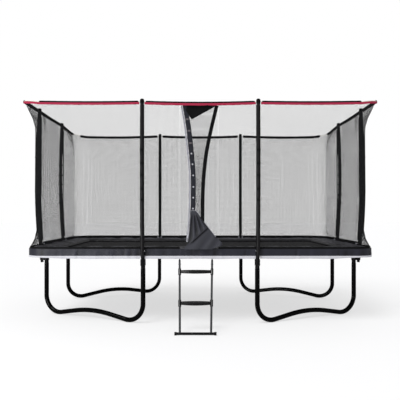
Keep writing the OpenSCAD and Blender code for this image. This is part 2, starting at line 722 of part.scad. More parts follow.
// y of the stile and half spacing at a height
function stile_y(z) = -hook_mean - (tail_z - z) * tan(ladder_lean);
function stile_x(z) = ladder_top_width / 2
    - (ladder_top_width - ladder_foot_width) / 2 * (tail_z - z) / (tail_z - foot_z);

module ladder_placed() placed() front_side() translate([ladder_at, 0, 0]) children();

module foot_axis(d, length) translate([-length / 2, -ladder_reach, foot_z]) rotate([0, 90, 0])
    cylinder(d = d, h = length, $fn = 40);

module stile_bolt_hole() translate([-20, 0, -55]) rotate([0, 90, 0]) cylinder(d = 6.2, h = 40, $fn = 32);

module ladder_stiles() color([0.13, 0.13, 0.14]) ladder_placed() for (s = [-1, 1])
    difference() {
        stile_frame(s) difference() {
            translate([0, 0, -ladder_long]) cylinder(d = stile_tube, h = ladder_long - 4, $fn = 40);
            translate([0, 0, -ladder_long - 1]) cylinder(d = stile_tube - 3, h = ladder_long, $fn = 40);
            stile_bolt_hole();
        }
        foot_axis(foot_bar + 0.2, 600);
    }

strap = 4;
// the strap goes over the frame tube, down its outside and into the stile
module ladder_hook(s) difference() {
    union() {
        translate([s * ladder_top_width / 2 - 8, 0, frame_height]) rotate([90, 0, 90])
            rotate([0, 0, 25]) rotate_extrude(angle = 155, $fn = 96)
                translate([hook_mean - strap / 2, 0]) square([strap, 16]);
        translate([s * ladder_top_width / 2 - 7.9, -hook_mean - strap / 2 + 0.1, tail_z])
            cube([15.8, strap - 0.2, hook_drop + 0.5]);
        translate([s * ladder_top_width / 2 - 8, -hook_mean, tail_z]) rotate([0, 90, 0])
            cylinder(d = strap, h = 16, $fn = 32);
        stile_frame(s) translate([-7.9, -strap / 2 + 0.1, -80]) cube([15.8, strap - 0.2, 80]);
    }
    stile_frame(s) stile_bolt_hole();
}

module ladder_hooks() color([0.10, 0.10, 0.11]) ladder_placed() for (s = [-1, 1]) ladder_hook(s);

module ladder_bolts() color([0.55, 0.56, 0.58]) ladder_placed() for (s = [-1, 1]) stile_frame(s)
    translate([0, 0, -55]) rotate([0, 90, 0]) {
        translate([0, 0, -16]) cylinder(d = 6, h = 32, $fn = 32);
        for (t = [-1, 1]) translate([0, 0, t * 14.8 - 2]) cylinder(d = 11, h = 4, $fn = 6);
    }

// a lens-shaped tread with a deep rim, a grooved top and a socket round each stile
tread_high = 34;
module lens(x, y0, y1, z0, z1) intersection() {
    r0 = (x * x + y0 * y0) / (2 * y0);
    r1 = (x * x + y1 * y1) / (2 * y1);
    translate([0, y0 - r0, z0]) cylinder(r = r0, h = z1 - z0, $fn = 160);
    translate([0, r1 - y1, z0]) cylinder(r = r1, h = z1 - z0, $fn = 160);
}

module ladder_step(z) {
    half = stile_x(z) + 16;
    translate([0, stile_y(z), z]) difference() {
        lens(half, 38, 68, -tread_high, 0);
        lens(half - 6, 33.5, 63.5, -tread_high - 1, -4);
        for (y = [-48 : 16 : 16]) translate([-100, y - 2, -1.2]) cube([200, 4, 5]);
        for (s = [-1, 1]) translate([s * (half + 32) - 50, -100, -50]) cube([100, 200, 60]);
    }
}

module ladder_sockets(z, d, length) for (s = [-1, 1]) stile_frame(s)
    translate([0, 0, -(tail_z - z + tread_high / 2) / cos(ladder_lean) - length / 2])
        cylinder(d = d, h = length, $fn = 40);

module whole_step(z) difference() {
    union() {
        ladder_step(z);
        ladder_sockets(z, 35, 78);
    }
    ladder_sockets(z, stile_tube + 0.3, 120);
}

module ladder_step_upper() color([0.05, 0.05, 0.055]) ladder_placed() whole_step(2 * step_rise);
module ladder_step_lower() color([0.05, 0.05, 0.055]) ladder_placed() whole_step(step_rise);

module ladder_foot_bar() color([0.05, 0.05, 0.055]) ladder_placed() difference() {
    foot_axis(foot_bar, 456);
    foot_axis(foot_bar - 3, 458);
}

module ladder_foot_caps() color([0.03, 0.03, 0.03]) ladder_placed() difference() {
    foot_axis(foot_cap, 472);
    foot_axis(foot_cap + 1, 420);
    foot_axis(foot_bar + 0.1, 457);
}

frame_corner_fl();
frame_corner_fr();
frame_corner_rl();
frame_corner_rr();
frame_rail_front();
frame_rail_rear();
frame_rail_left();
frame_rail_right();
tee_connectors();
tee_screws();
leg_fl();
leg_fr();
leg_rl();
leg_rr();
poles_long();
poles_short();
foam_sleeves();
pole_caps();
pole_clamps();
clamp_bolts();
ring_rods();
net_top_sleeve();
net_top_band();
net_front();
net_rear();
net_left();
net_right();
net_corners();
net_pole_bands();
net_pole_straps();
net_bottom_hem();
entrance_flap();
entrance_zip_tape();
zip_slider();
entrance_strip_left();
entrance_strip_right();
entrance_gusset();
entrance_apron();
entrance_buckles();
mat();
mat_hem();
mat_rings();
springs_front();
springs_rear();
springs_left();
springs_right();
pad_front();
pad_rear();
pad_left();
pad_right();
pad_skirt();
skirt_hem();
ladder_stiles();
ladder_hooks();
ladder_bolts();
ladder_step_upper();
ladder_step_lower();
ladder_foot_bar();
ladder_foot_caps();
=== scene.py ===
import math

import bpy
import numpy as np
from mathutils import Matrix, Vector


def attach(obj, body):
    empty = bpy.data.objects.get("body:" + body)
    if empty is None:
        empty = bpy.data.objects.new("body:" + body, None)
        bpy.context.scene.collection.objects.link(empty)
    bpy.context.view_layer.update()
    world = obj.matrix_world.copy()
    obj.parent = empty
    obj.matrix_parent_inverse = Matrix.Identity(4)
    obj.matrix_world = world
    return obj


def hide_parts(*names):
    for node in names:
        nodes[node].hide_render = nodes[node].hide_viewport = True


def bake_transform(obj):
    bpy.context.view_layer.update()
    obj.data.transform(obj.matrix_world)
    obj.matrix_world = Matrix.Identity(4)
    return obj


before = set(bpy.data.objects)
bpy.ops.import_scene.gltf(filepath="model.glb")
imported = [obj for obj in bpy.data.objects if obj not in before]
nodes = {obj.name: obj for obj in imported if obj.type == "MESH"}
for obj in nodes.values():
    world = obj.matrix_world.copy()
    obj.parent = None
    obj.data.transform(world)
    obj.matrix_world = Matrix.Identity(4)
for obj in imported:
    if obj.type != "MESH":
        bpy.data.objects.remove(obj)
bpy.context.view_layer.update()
scene = bpy.context.scene

# ---- the part's own dimensions, in metres ----
FX, FY = 2.110, 1.195          # frame centreline
YC = 0.2125                    # the frame stands this far back of the origin
LEG_X, LEG_Y = 0.706, 0.533    # poles along the long and the short sides
MAT_TOP = 0.88945
RING_LOW, RING_HIGH = 2.722, 2.772
NET_LOW, NET_FOLD = 0.936, 1.500
NET_HEIGHT = 1.75              # measured along the net, for the number of rows
GATE = [(2.676, -0.214, 0.183), (2.400, -0.168, 0.115), (2.115, -0.139, 0.056), (1.870, -0.114, 0.027),
        (1.620, -0.112, 0.012), (1.400, -0.119, 0.009), (1.262, -0.128, 0.009)]
GATE_FOOT, GATE_TOP = 1.262, 2.676
FOAM_R = 0.0247                # outside of a pole's foam sleeve
STRAPS = (1.532, 1.664, 1.827, 1.974, 2.135)


def pole_out(z):
    """How far a pole's centreline stands out of the frame's centreline."""
    return 0.121 - 13.5 + np.sqrt(13.5 ** 2 - (np.asarray(z, float) - 1.960) ** 2)


def net_out(z):
    """The same for the net's plane."""
    z = np.asarray(z, float)
    low = 0.050 + 0.030 * (z - NET_LOW) / (NET_FOLD - NET_LOW)
    high = 0.080 - 0.008 * (z - NET_FOLD) / (2.690 - NET_FOLD)
    return np.where(z < NET_FOLD, low, high)


def smooth(a, b, v):
    t = np.clip((np.asarray(v, float) - a) / (b - a), 0, 1)
    return t * t * (3 - 2 * t)


def at(side, s, out, z):
    """Points s along a side, out from the frame's centreline, at height z."""
    s, out, z = np.broadcast_arrays(np.asarray(s, float), np.asarray(out, float), np.asarray(z, float))
    if side == "front":
        return np.stack([s, YC - FY - out, z], -1)
    if side == "rear":
        return np.stack([s, YC + FY + out, z], -1)
    if side == "right":
        return np.stack([FX + out, YC + s, z], -1)
    return np.stack([-FX - out, YC + s, z], -1)


def outward(side):
    return {"front": (0, -1, 0), "rear": (0, 1, 0), "right": (1, 0, 0), "left": (-1, 0, 0)}[side]


def rng(seed):
    return np.random.default_rng(seed)


# ---- materials ----

def srgb(r, g, b):
    def lin(c):
        c /= 255
        return c / 12.92 if c <= 0.04045 else ((c + 0.055) / 1.055) ** 2.4
    return (lin(r), lin(g), lin(b), 1)


class Mat:
    """A procedural material: Principled with mottled colour, varied roughness and stacked bumps."""

    def __init__(self, name, colour, rough, metal=0.0, mottle=(4.0, 0.18), speck=(220.0, 0.10),
                 rough_by=0.10, coat=0.0, sheen=0.0, spec=0.5):
        self.m = bpy.data.materials.new(name)
        self.m.use_nodes = True
        self.nt = self.m.node_tree
        self.bsdf = self.nt.nodes["Principled BSDF"]
        self.coords = self.new("ShaderNodeTexCoord").outputs["Object"]
        self.bsdf.inputs["Metallic"].default_value = metal
        self.bsdf.inputs["Coat Weight"].default_value = coat
        self.bsdf.inputs["Coat Roughness"].default_value = 0.12
        self.bsdf.inputs["Sheen Weight"].default_value = sheen
        self.bsdf.inputs["Specular IOR Level"].default_value = spec
        big = self.noise(mottle[0], 4)
        small = self.noise(speck[0], 2)
        value = self.math("ADD", self.math("MULTIPLY", big, mottle[1]),
                          self.math("MULTIPLY", small, speck[1]))
        value = self.math("ADD", value, 1 - (mottle[1] + speck[1]) / 2)
        scale = self.new("ShaderNodeVectorMath")
        scale.operation = "SCALE"
        scale.inputs[0].default_value = colour[:3]
        self.link(value, scale.inputs["Scale"])
        self.colour = scale.outputs[0]
        self.rough = self.math("ADD", self.math("MULTIPLY", big, rough_by), rough - rough_by / 2)
        self.normal = None

    def new(self, kind):
        return self.nt.nodes.new(kind)

    def link(self, a, b):
        self.nt.links.new(a, b)

    def put(self, value, socket):
        if hasattr(value, "links"):
            self.link(value, socket)
        else:
            socket.default_value = value

    def math(self, op, a, b=0.0):
        n = self.new("ShaderNodeMath")
        n.operation = op
        self.put(a, n.inputs[0])
        self.put(b, n.inputs[1])
        return n.outputs[0]

    def noise(self, scale, detail=3, stretch=None):
        n = self.new("ShaderNodeTexNoise")
        n.inputs["Scale"].default_value = scale
        n.inputs["Detail"].default_value = detail
        self.link(self.mapped(stretch), n.inputs["Vector"])
        return n.outputs["Fac"]

    def mapped(self, stretch=None, turn=None):
        if stretch is None and turn is None:
            return self.coords
        n = self.new("ShaderNodeMapping")
        n.inputs["Scale"].default_value = stretch or (1, 1, 1)
        n.inputs["Rotation"].default_value = turn or (0, 0, 0)
        self.link(self.coords, n.inputs["Vector"])
        return n.outputs[0]

    def wave(self, period, axis, turn=None, distort=0.0):
        """A sine of this period in metres along an axis, 0 to 1."""
        n = self.new("ShaderNodeTexWave")
        n.bands_direction = axis
        n.inputs["Scale"].default_value = math.pi / 10 / period
        n.inputs["Distortion"].default_value = distort
        self.link(self.mapped(None, turn), n.inputs["Vector"])
        return n.outputs["Fac"]

    def bump(self, height, distance, strength=1.0):
        n = self.new("ShaderNodeBump")
        n.inputs["Distance"].default_value = distance
        n.inputs["Strength"].default_value = strength
        self.link(height, n.inputs["Height"])
        if self.normal is not None:
            self.link(self.normal, n.inputs["Normal"])
        self.normal = n.outputs[0]
        return self

    def tint(self, factor, colour):
        """Mixes another colour in where factor is high."""
        n = self.new("ShaderNodeMix")
        n.data_type = "RGBA"
        self.put(factor, n.inputs[0])
        self.link(self.colour, n.inputs[6])
        n.inputs[7].default_value = colour
        self.colour = n.outputs[2]
        return self

    def weave(self, period, upright, depth=0.0004, shade=0.25):
        """Over and under threads: along X+Y and Z on upright cloth, along X and Y on flat cloth."""
        if upright:
            a = self.wave(period, "X", (0, 0, -math.pi / 4))
            b = self.wave(period, "Z")
        else:
            a, b = self.wave(period, "X"), self.wave(period, "Y")
        cloth = self.math("MULTIPLY", a, b)
        self.bump(cloth, depth, 0.7)
        dark = self.math("MULTIPLY", self.math("SUBTRACT", 1.0, cloth), shade)
        return self.tint(dark, (0.004, 0.004, 0.005, 1))

    def paint_fold_shade(self, amount):
        """Paints shade into the folds marked on the mesh: darker where a point lies deeper in a fold."""
        n = self.new("ShaderNodeAttribute")
        n.attribute_name = "painted_fold_shade"
        return self.tint(self.math("MULTIPLY", n.outputs["Fac"], amount), (0.003, 0.003, 0.004, 1))

    def threshold(self, value, low, high):
        n = self.new("ShaderNodeMapRange")
        n.inputs["From Min"].default_value = low
        n.inputs["From Max"].default_value = high
        self.link(value, n.inputs["Value"])
        return n.outputs[0]

    def done(self):
        self.link(self.colour, self.bsdf.inputs["Base Color"])
        self.link(self.rough, self.bsdf.inputs["Roughness"])
        if self.normal is not None:
            self.link(self.normal, self.bsdf.inputs["Normal"])
        return self.m


def powder(name, colour, rough, spec=0.25):
    m = Mat(name, colour, rough, mottle=(3.0, 0.20), speck=(900.0, 0.15), rough_by=0.12, spec=spec)
    m.bump(m.noise(1400, 2), 0.00012, 0.5)
    scuff = m.threshold(m.noise(60, 5, (1, 1, 0.15)), 0.68, 0.76)
    m.tint(m.math("MULTIPLY", scuff, 0.08), srgb(50, 50, 52))
    return m.done()


def cloth(name, colour, rough, upright=True, period=0.0016, depth=0.0004, shade=0.25, fold=None,
          painted_fold_shade=0, **more):
    """Woven cloth; fold is the scale, stretch and height of an extra crumpled relief."""
    m = Mat(name, colour, rough, **more)
    if fold:
        m.bump(m.noise(fold[0], 4, fold[1]), fold[2], 0.4)
    m.weave(period, upright, depth, shade)
    # painted shade, darker in the folds marked on the mesh
    if painted_fold_shade:
        m.paint_fold_shade(painted_fold_shade)
    return m.done()


def moulded(name, colour, rough, grain, **more):
    m = Mat(name, colour, rough, **more)
    m.bump(m.noise(grain, 2), 0.0001, 0.6)
    return m.done()


M = {}
M["black_powder_coat"] = powder("powder_coat", srgb(9, 9, 10), 0.42, 0.14)
M["gloss_black_tube"] = powder("gloss_tube", srgb(2, 2, 2), 0.20, 0.09)
M["dark_grey_tube"] = powder("stile_tube", srgb(40, 41, 44), 0.34, 0.22)

m = Mat("zinc", srgb(178, 180, 186), 0.32, 0.9, mottle=(40, 0.25), rough_by=0.2)
m.bump(m.noise(700, 3), 0.0001, 0.4)
M["zinc_steel"] = m.done()

m = Mat("foam_cover", srgb(18, 17, 19), 0.40, mottle=(9, 0.22), speck=(700, 0.2), spec=0.22)
m.bump(m.noise(38, 4, (1, 1, 0.35)), 0.0016, 0.55)
m.bump(m.noise(900, 2), 0.0002, 0.5)
M["foam_cover"] = m.done()

M["black_plastic"] = moulded("black_plastic", srgb(8, 8, 9), 0.30, 1100, mottle=(6, 0.2), spec=0.15)
M["grey_plastic"] = moulded("grey_plastic", srgb(88, 82, 86), 0.40, 600, mottle=(30, 0.12))

# the steps are ribbed across so that feet don't slip
m = Mat("step_plastic", srgb(7, 7, 8), 0.20, mottle=(6, 0.2), spec=0.4)
m.bump(m.wave(0.0125, "X"), 0.0016, 0.35)
m.bump(m.noise(900, 2), 0.0001, 0.5)
step_plastic = m.done()

m = Mat("glass_fibre", srgb(222, 218, 208), 0.38, mottle=(12, 0.10), speck=(400, 0.12))
m.bump(m.noise(500, 4, (0.05, 0.05, 1)), 0.0002, 0.5)
M["glass_fibre_rod"] = m.done()

M["black_webbing"] = cloth("webbing", srgb(11, 11, 12), 0.62, shade=0.3, depth=0.0005, spec=0.08)
M["crimson_tape"] = cloth("crimson_tape", srgb(156, 34, 64), 0.58, period=0.0014, shade=0.14,
                          mottle=(5, 0.16), spec=0.2)
M["grey_tape"] = cloth("grey_tape", srgb(172, 172, 180), 0.60, period=0.0014, shade=0.2, mottle=(14, 0.14),
                       spec=0.2)

m = Mat("net_cord", srgb(24, 24, 26), 0.60, mottle=(5, 0.2), speck=(1500, 0.3), spec=0.15)
m.bump(m.noise(2600, 2), 0.0003, 0.6)
M["net_mesh"] = m.done()

M["slate_fabric"] = cloth("slate_fabric", srgb(44, 45, 52), 0.52, period=0.0018, mottle=(7, 0.24), spec=0.28)
# the apron's folds get painted shade
apron_cloth = cloth("apron_cloth", srgb(54, 55, 63), 0.50, period=0.0018, mottle=(9, 0.30), spec=0.3,
                    painted_fold_shade=0.92)
slate_strip = cloth("slate_strip", srgb(31, 32, 40), 0.55, period=0.0018, mottle=(24, 0.4), spec=0.2)
black_bolt = powder("black_bolt", srgb(14, 14, 15), 0.35, 0.15)
M["mat_weave"] = cloth("mat_weave", srgb(24, 24, 26), 0.55, False, 0.0026, 0.0006, 0.4, mottle=(2.5, 0.3),
                       speck=(160, 0.2), spec=0.3)

m = Mat("pad_cover", srgb(72, 72, 78), 0.34, mottle=(3.5, 0.30), speck=(300, 0.12), spec=0.5)
m.bump(m.noise(13, 5), 0.010, 0.4)
# painted shade in the cover's folds and along its seam
m.paint_fold_shade(0.85)
m.bump(m.noise(1200, 2), 0.0002, 0.5)
M["pad_cover"] = m.done()

# the skirt's creases get painted shade
M["skirt_fabric"] = cloth("skirt_fabric", srgb(36, 37, 48), 0.46, period=0.0018, depth=0.0003, shade=0.18,
                          fold=(16, (1, 1, 0.5), 0.012), mottle=(6, 0.40), speck=(400, 0.1), spec=0.35,
                          painted_fold_shade=0.85)
M["pale_trim"] = cloth("pale_trim", srgb(184, 184, 190), 0.55, depth=0.0003, shade=0.08,
                       fold=(26, (1, 1, 0.4), 0.002), mottle=(10, 0.1), spec=0.2)
M["rubber_cap"] = moulded("rubber", srgb(12, 12, 12), 0.7, 800, mottle=(20, 0.3), rough_by=0.2, spec=0.2)


# ---- mesh helpers ----

def piece(name, verts, faces, slot, body="trampoline", replaces=(), crease=40, material=None):
    """A mesh piece with the material of its slot, hung on its body, hiding the CAD nodes it stands for."""
    mesh = bpy.data.meshes.new(name)
    mesh.from_pydata(np.asarray(verts, float).reshape(-1, 3).tolist(), [], [list(f) for f in faces])
    mesh.update()
    obj = bpy.data.objects.new(name, mesh)
    scene.collection.objects.link(obj)
    mesh.materials.append(material or M[slot])
    mesh.polygons.foreach_set("use_smooth", np.ones(len(mesh.polygons), bool))
    if crease:
        mesh.set_sharp_from_angle(angle=math.radians(crease))
    if replaces:
        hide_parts(*replaces)
    if body:
        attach(obj, body)
    return obj


class Parts:
    """Collects closed solids into one mesh."""

    def __init__(self):
        self.v, self.f, self.n = [], [], 0

    def add(self, verts, faces):
        verts = np.asarray(verts, float).reshape(-1, 3)
        self.v.append(verts)
        self.f.extend(tuple(i + self.n for i in f) for f in faces)
        self.n += len(verts)
        return self

    def build(self, name, slot, **more):
        return piece(name, np.vstack(self.v), self.f, slot, **more)


def tube_faces(n, m, k, closed=False):
    """Faces of n tubes of m rings of k points, with end caps."""
    faces = []
    for i in range(n):
        o = i * m * k
        for j in range(m - 1):
            for a in range(k):
                b = (a + 1) % k
                faces.append((o + j * k + a, o + j * k + b, o + (j + 1) * k + b, o + (j + 1) * k + a))
        if closed:
            for a in range(k):
                b = (a + 1) % k
                faces.append((o + (m - 1) * k + a, o + (m - 1) * k + b, o + b, o + a))
        else:
            faces.append(tuple(o + a for a in reversed(range(k))))
            faces.append(tuple(o + (m - 1) * k + a for a in range(k)))
    return faces


def unit(v):
    return v / np.maximum(np.linalg.norm(v, axis=-1, keepdims=True), 1e-12)


def distance(p):
    """How far along its run each point lies."""
    return np.concatenate([[0], np.cumsum(np.linalg.norm(np.diff(p, axis=0), axis=1))])


def tubes(paths, radius, sides, ref, phase=0.0, flat=1.0, closed=False):
    """Closed tubes along paths (n, m, 3). ref is the direction of a section's first point."""
    p = np.asarray(paths, float)
    if p.ndim == 2:
        p = p[None]
    n, m, _ = p.shape
    t = unit(np.gradient(p, axis=1))
    if closed:
        t = unit(np.roll(p, -1, 1) - np.roll(p, 1, 1))
    ref = np.broadcast_to(np.asarray(ref, float), p.shape)
    e1 = unit(ref - (ref * t).sum(-1, keepdims=True) * t)
    e2 = np.cross(t, e1)
    a = phase + 2 * np.pi * np.arange(sides) / sides
    r = np.broadcast_to(np.asarray(radius, float), (n, m))[..., None, None]
    ring = (np.cos(a)[:, None] * e1[:, :, None] + flat * np.sin(a)[:, None] * e2[:, :, None]) * r
    verts = (p[:, :, None] + ring).reshape(-1, 3)
    return verts, tube_faces(n, m, sides, closed)


def section_loft(centres, e1, e2, outline):
    """A closed loft: outline (k, 2) or (m, k, 2) in the e1, e2 directions at each of m centres."""
    c = np.asarray(centres, float)
    m = len(c)
    o = np.asarray(outline, float)
    if o.ndim == 2:
        o = np.broadcast_to(o, (m,) + o.shape)
    e1 = np.broadcast_to(np.asarray(e1, float), (m, 3))
    e2 = np.broadcast_to(np.asarray(e2, float), (m, 3))
    verts = c[:, None] + o[..., :1] * e1[:, None] + o[..., 1:] * e2[:, None]
    return verts.reshape(-1, 3), tube_faces(1, m, o.shape[1])


def sheet(grid, thick, normal):
    """A closed thin sheet: grid (a, b, 3) of the outer face, thickened against normal (broadcast)."""
    g = np.asarray(grid, float)
    a, b, _ = g.shape
    back = g - np.broadcast_to(np.asarray(normal, float), g.shape) * thick
    verts = np.concatenate([g.reshape(-1, 3), back.reshape(-1, 3)])
    n = a * b
    faces = []
    for i in range(a - 1):
        for j in range(b - 1):
            q = (i * b + j, (i + 1) * b + j, (i + 1) * b + j + 1, i * b + j + 1)
            faces.append(q)
            faces.append(tuple(n + k for k in reversed(q)))
    rim = [(i * b, (i + 1) * b) for i in range(a - 1)] + \
          [((a - 1) * b + j, (a - 1) * b + j + 1) for j in range(b - 1)] + \
          [(i * b + b - 1, (i - 1) * b + b - 1) for i in range(a - 1, 0, -1)] + \
          [(j, j - 1) for j in range(b - 1, 0, -1)]
    faces += [(q, p, n + p, n + q) for p, q in rim]
    return verts, faces


def facing(grid, thick, normal):
    """A sheet whose faces are turned so that its outer side looks along normal."""
    verts, faces = sheet(grid, thick, normal)
    first = np.broadcast_to(np.asarray(normal, float), np.shape(grid))[0, 0]
    if np.dot(np.cross(grid[1, 0] - grid[0, 0], grid[0, 1] - grid[0, 0]), first) < 0:
        faces = [tuple(reversed(f)) for f in faces]
    return verts, faces


def mark_painted_fold_shade(obj, values):
    """Writes how much painted shade each point gets for lying in a fold, 0 to 1, for outer and inner face
    alike.
    """
    values = np.clip(np.asarray(values, float).ravel(), 0, 1)
    layer = obj.data.attributes.new("painted_fold_shade", "FLOAT", "POINT")
    layer.data.foreach_set("value", np.resize(values, len(obj.data.vertices)))


def bevel(obj, width, segments=2, angle=35):
    b = obj.modifiers.new("edges", "BEVEL")
    b.width = width
    b.segments = segments
    b.limit_method = "ANGLE"
    b.angle_limit = math.radians(angle)
    b.harden_normals = False
    return obj


SIDES = ("front", "rear", "left", "right")
LONG = SIDES[:2]
CORNERS = {"fl": (-1, -1), "fr": (1, -1), "rl": (-1, 1), "rr": (1, 1)}
POLES = [(side, s * (LEG_X if side in LONG else LEG_Y)) for side in SIDES for s in (-1, 1)]

# ---- nodes kept as packed ----

KEPT = {
    "black_powder_coat": ["frame_corner_" + c for c in CORNERS] + ["frame_rail_" + side for side in SIDES]
    + ["tee_connectors", "ladder_hooks", "poles_long", "poles_short", "ladder_foot_bar"],
    "gloss_black_tube": ["leg_" + c for c in CORNERS],
    "dark_grey_tube": ["ladder_stiles"],
    "zinc_steel": ["tee_screws", "clamp_bolts", "ladder_bolts", "zip_slider", "mat_rings"],
    "black_plastic": ["pole_caps", "pole_clamps", "ladder_step_upper", "ladder_step_lower"],
    "grey_plastic": ["entrance_buckles"],
    "rubber_cap": ["ladder_foot_caps"],
}
for slot, names in KEPT.items():
    for n in names:
        o = nodes[n]
        o.data.materials.clear()
        special = {"ladder_step_upper": step_plastic, "ladder_step_lower": step_plastic,
                   "clamp_bolts": black_bolt}
        o.data.materials.append(special.get(n, M[slot]))
for n, w in (("pole_caps", 0.003), ("pole_clamps", 0.002), ("ladder_step_upper", 0.002),
             ("ladder_step_lower", 0.002), ("ladder_foot_caps", 0.003), ("ladder_hooks", 0.0008),
             ("mat_rings", 0.001), ("zip_slider", 0.0006), ("clamp_bolts", 0.0008),
             ("entrance_buckles", 0.0015)):
    bevel(nodes[n], w)

# ---- foam sleeves, straps and bands of the poles ----

parts = Parts()
wob = rng(3)
for side, s in POLES:
    ring = RING_LOW if side in LONG else RING_HIGH
    z = np.linspace(0.830, ring - 0.023, 64)
    r = FOAM_R + 0.0006 * np.sin(z * 37 + wob.uniform(0, 6)) * np.sin(z * 11 + wob.uniform(0, 6))
    for h in STRAPS:
        r -= 0.0012 * np.exp(-((z - h) / 0.02) ** 2)
    r[0] -= 0.003
    r[-1] -= 0.003
    parts.add(*tubes(at(side, s, pole_out(z), z), r, 24, outward(side)))
    # the cover's seam runs down its inner face
    z = z[1:-1]
    seam = at(side, s, pole_out(z) - FOAM_R, z)
    parts.add(*tubes(seam, 0.0016, 5, outward(side)))
parts.build("foam_covers", "foam_cover", replaces=["foam_sleeves"])

parts = Parts()
for side, s in POLES:
    for h in STRAPS:
        z = np.array([h - 0.0125, h - 0.0115, h + 0.0115, h + 0.0125]) + 0.001 * math.sin(5 * h + s)
        parts.add(*tubes(at(side, s, pole_out(z), z), [0.0252, 0.0268, 0.0268, 0.0252], 28, outward(side)))
        near = float(pole_out(h)) - 0.0265
        far = float(net_out(h)) + 0.0022
        mid = at(side, s, np.linspace(near, far, 4), h)
        out = np.array(outward(side), float)
        along = np.array([out[1], -out[0], 0])
        rect = [(-0.010, -0.011), (-0.010, 0.011), (0.010, 0.011), (0.010, -0.011)]
        if near - far > 0.002:
            parts.add(*section_loft(mid, np.cross(-out, along), along, rect))
        # the strap's knot, on the pole's outer face and a little to one side
        z = h + np.linspace(-0.013, 0.013, 7)
        knot = at(side, s + 0.006 * math.sin(9 * h + 4 * s), pole_out(z) + 0.0290, z)
        parts.add(*tubes(knot, 0.0015 + 0.0105 * np.sin(np.linspace(0.1, math.pi - 0.1, 7)), 8,
                         outward(side)))
parts.build("pole_straps", "black_webbing", replaces=["net_pole_straps"])

# ---- net ----

PITCH = 0.0085
CORD = 0.00130 / math.sqrt(3)
FLARE = 0.096 - 0.073          # extra reach of the net near the top rod


def flare(z, reach):
    """How much of that reach the net has at height z, this far from a pole."""
    return FLARE * smooth(2.42, 2.70, z) * smooth(0.03, 0.30, reach)


def ring_drop(side, s):
    """How far the loaded top rod lies off the CAD rod's height, at s along a side."""
    s = np.asarray(s, float)
    if side in LONG:
        mid, out = (-0.014, -0.007) if side == "front" else (-0.018, -0.016)
        tail = 0.0 if side == "front" else -0.014
        t = np.clip((np.abs(s) - LEG_X) / (1.960 - LEG_X), 0, 1)
        return np.where(np.abs(s) < LEG_X, mid * (1 - (s / LEG_X) ** 2),
                        out * np.sin(np.pi * t) + tail * t ** 2)
    return np.interp(s, (-1.045, -0.80, -LEG_Y, 0.0, LEG_Y, 0.80, 1.045),
                     (0.006, 0.003, 0.0, -0.004, 0.0, -0.012, -0.030))


def straight_panel(side, poles, z_top):
    """Function giving points of a straight panel: s along the side, v from hem to rod."""
    def point(s, v):
        z = NET_LOW + v * (z_top - NET_LOW)
        reach = np.minimum(np.abs(s - poles[0]), np.abs(s - poles[1]))
        billow = 0.006 * np.sin(math.pi * v) * smooth(0, 0.3, reach)
        ripple = 0.0004 * np.sin(s * 17 + 2.2 * np.sin(3 * v)) * smooth(0, 0.1, reach)
        return at(side, s, net_out(z) + flare(z, reach) + billow + ripple, z + ring_drop(side, s) * v ** 6)
    return point


# the same along a front (-1) or rear (1) corner panel
LIFTS = {-1: (0, -0.007, 0, 0.006, 0.003, 0), 1: (0, -0.018, -0.014, -0.030, -0.012, 0)}


def corner_panel(sx, sy):
    """Function giving points of a corner panel, u from the long side's pole to the short side's."""
    u1, u2 = 0.581, 0.763

    def point(u, v):
        u, v = np.broadcast_arrays(np.asarray(u, float), np.asarray(v, float))
        rise = smooth(u1, u2, u) * (RING_HIGH - RING_LOW)
        lift = np.interp(u, (0, 0.3, u1, u2, 0.88, 1), LIFTS[sy])
        z = NET_LOW + v * (RING_LOW - 0.012 - NET_LOW) + (rise + lift) * smooth(0.7, 1.0, v)
        high = np.clip((2.72 - z) / 0.32, 0, 1)
        low = np.clip((z - 0.945) / 0.24, 0, 1)
        pull = (1 - (1 - high) ** 2.3) * (1 - (1 - low) ** 2.0)
        out = net_out(z)
        wide = out + FLARE * smooth(2.42, 2.70, z)
        vx, vy = FX + wide - 0.100 * pull, FY + wide - 0.085 * pull
        ax, ay = np.full_like(z, LEG_X), FY + out
        bx, by = FX + out, np.full_like(z, LEG_Y)
        r = 0.25
        la, lb = np.hypot(ax - vx, ay - vy), np.hypot(bx - vx, by - vy)
        tx, ty = vx + (ax - vx) / la * r, vy + (ay - vy) / la * r
        wx, wy = vx + (bx - vx) / lb * r, vy + (by - vy) / lb * r
        q = np.clip(u / u1, 0, 1)
        x1, y1 = ax + (tx - ax) * q, ay + (ty - ay) * (1 - (1 - q) ** (1 + 2 * smooth(2.3, 2.7, z)))
        q = np.clip((u - u1) / (u2 - u1), 0, 1)
        w = 0.7071
        d = (1 - q) ** 2 + 2 * w * q * (1 - q) + q ** 2
        x2 = ((1 - q) ** 2 * tx + 2 * w * q * (1 - q) * vx + q ** 2 * wx) / d
        y2 = ((1 - q) ** 2 * ty + 2 * w * q * (1 - q) * vy + q ** 2 * wy) / d
        q = np.clip((u - u2) / (1 - u2), 0, 1)
        x3 = wx + (bx - wx) * (q ** (1 + 2 * smooth(2.3, 2.7, z)))
        y3 = wy + (by - wy) * q
        x = np.where(u < u1, x1, np.where(u < u2, x2, x3))
        y = np.where(u < u1, y1, np.where(u < u2, y2, y3))
        ripple = 0.0006 * np.sin(u * 40) * np.sin(math.pi * v)
        return np.stack([sx * (x + ripple), YC + sy * (y + ripple), z], -1)
    return point


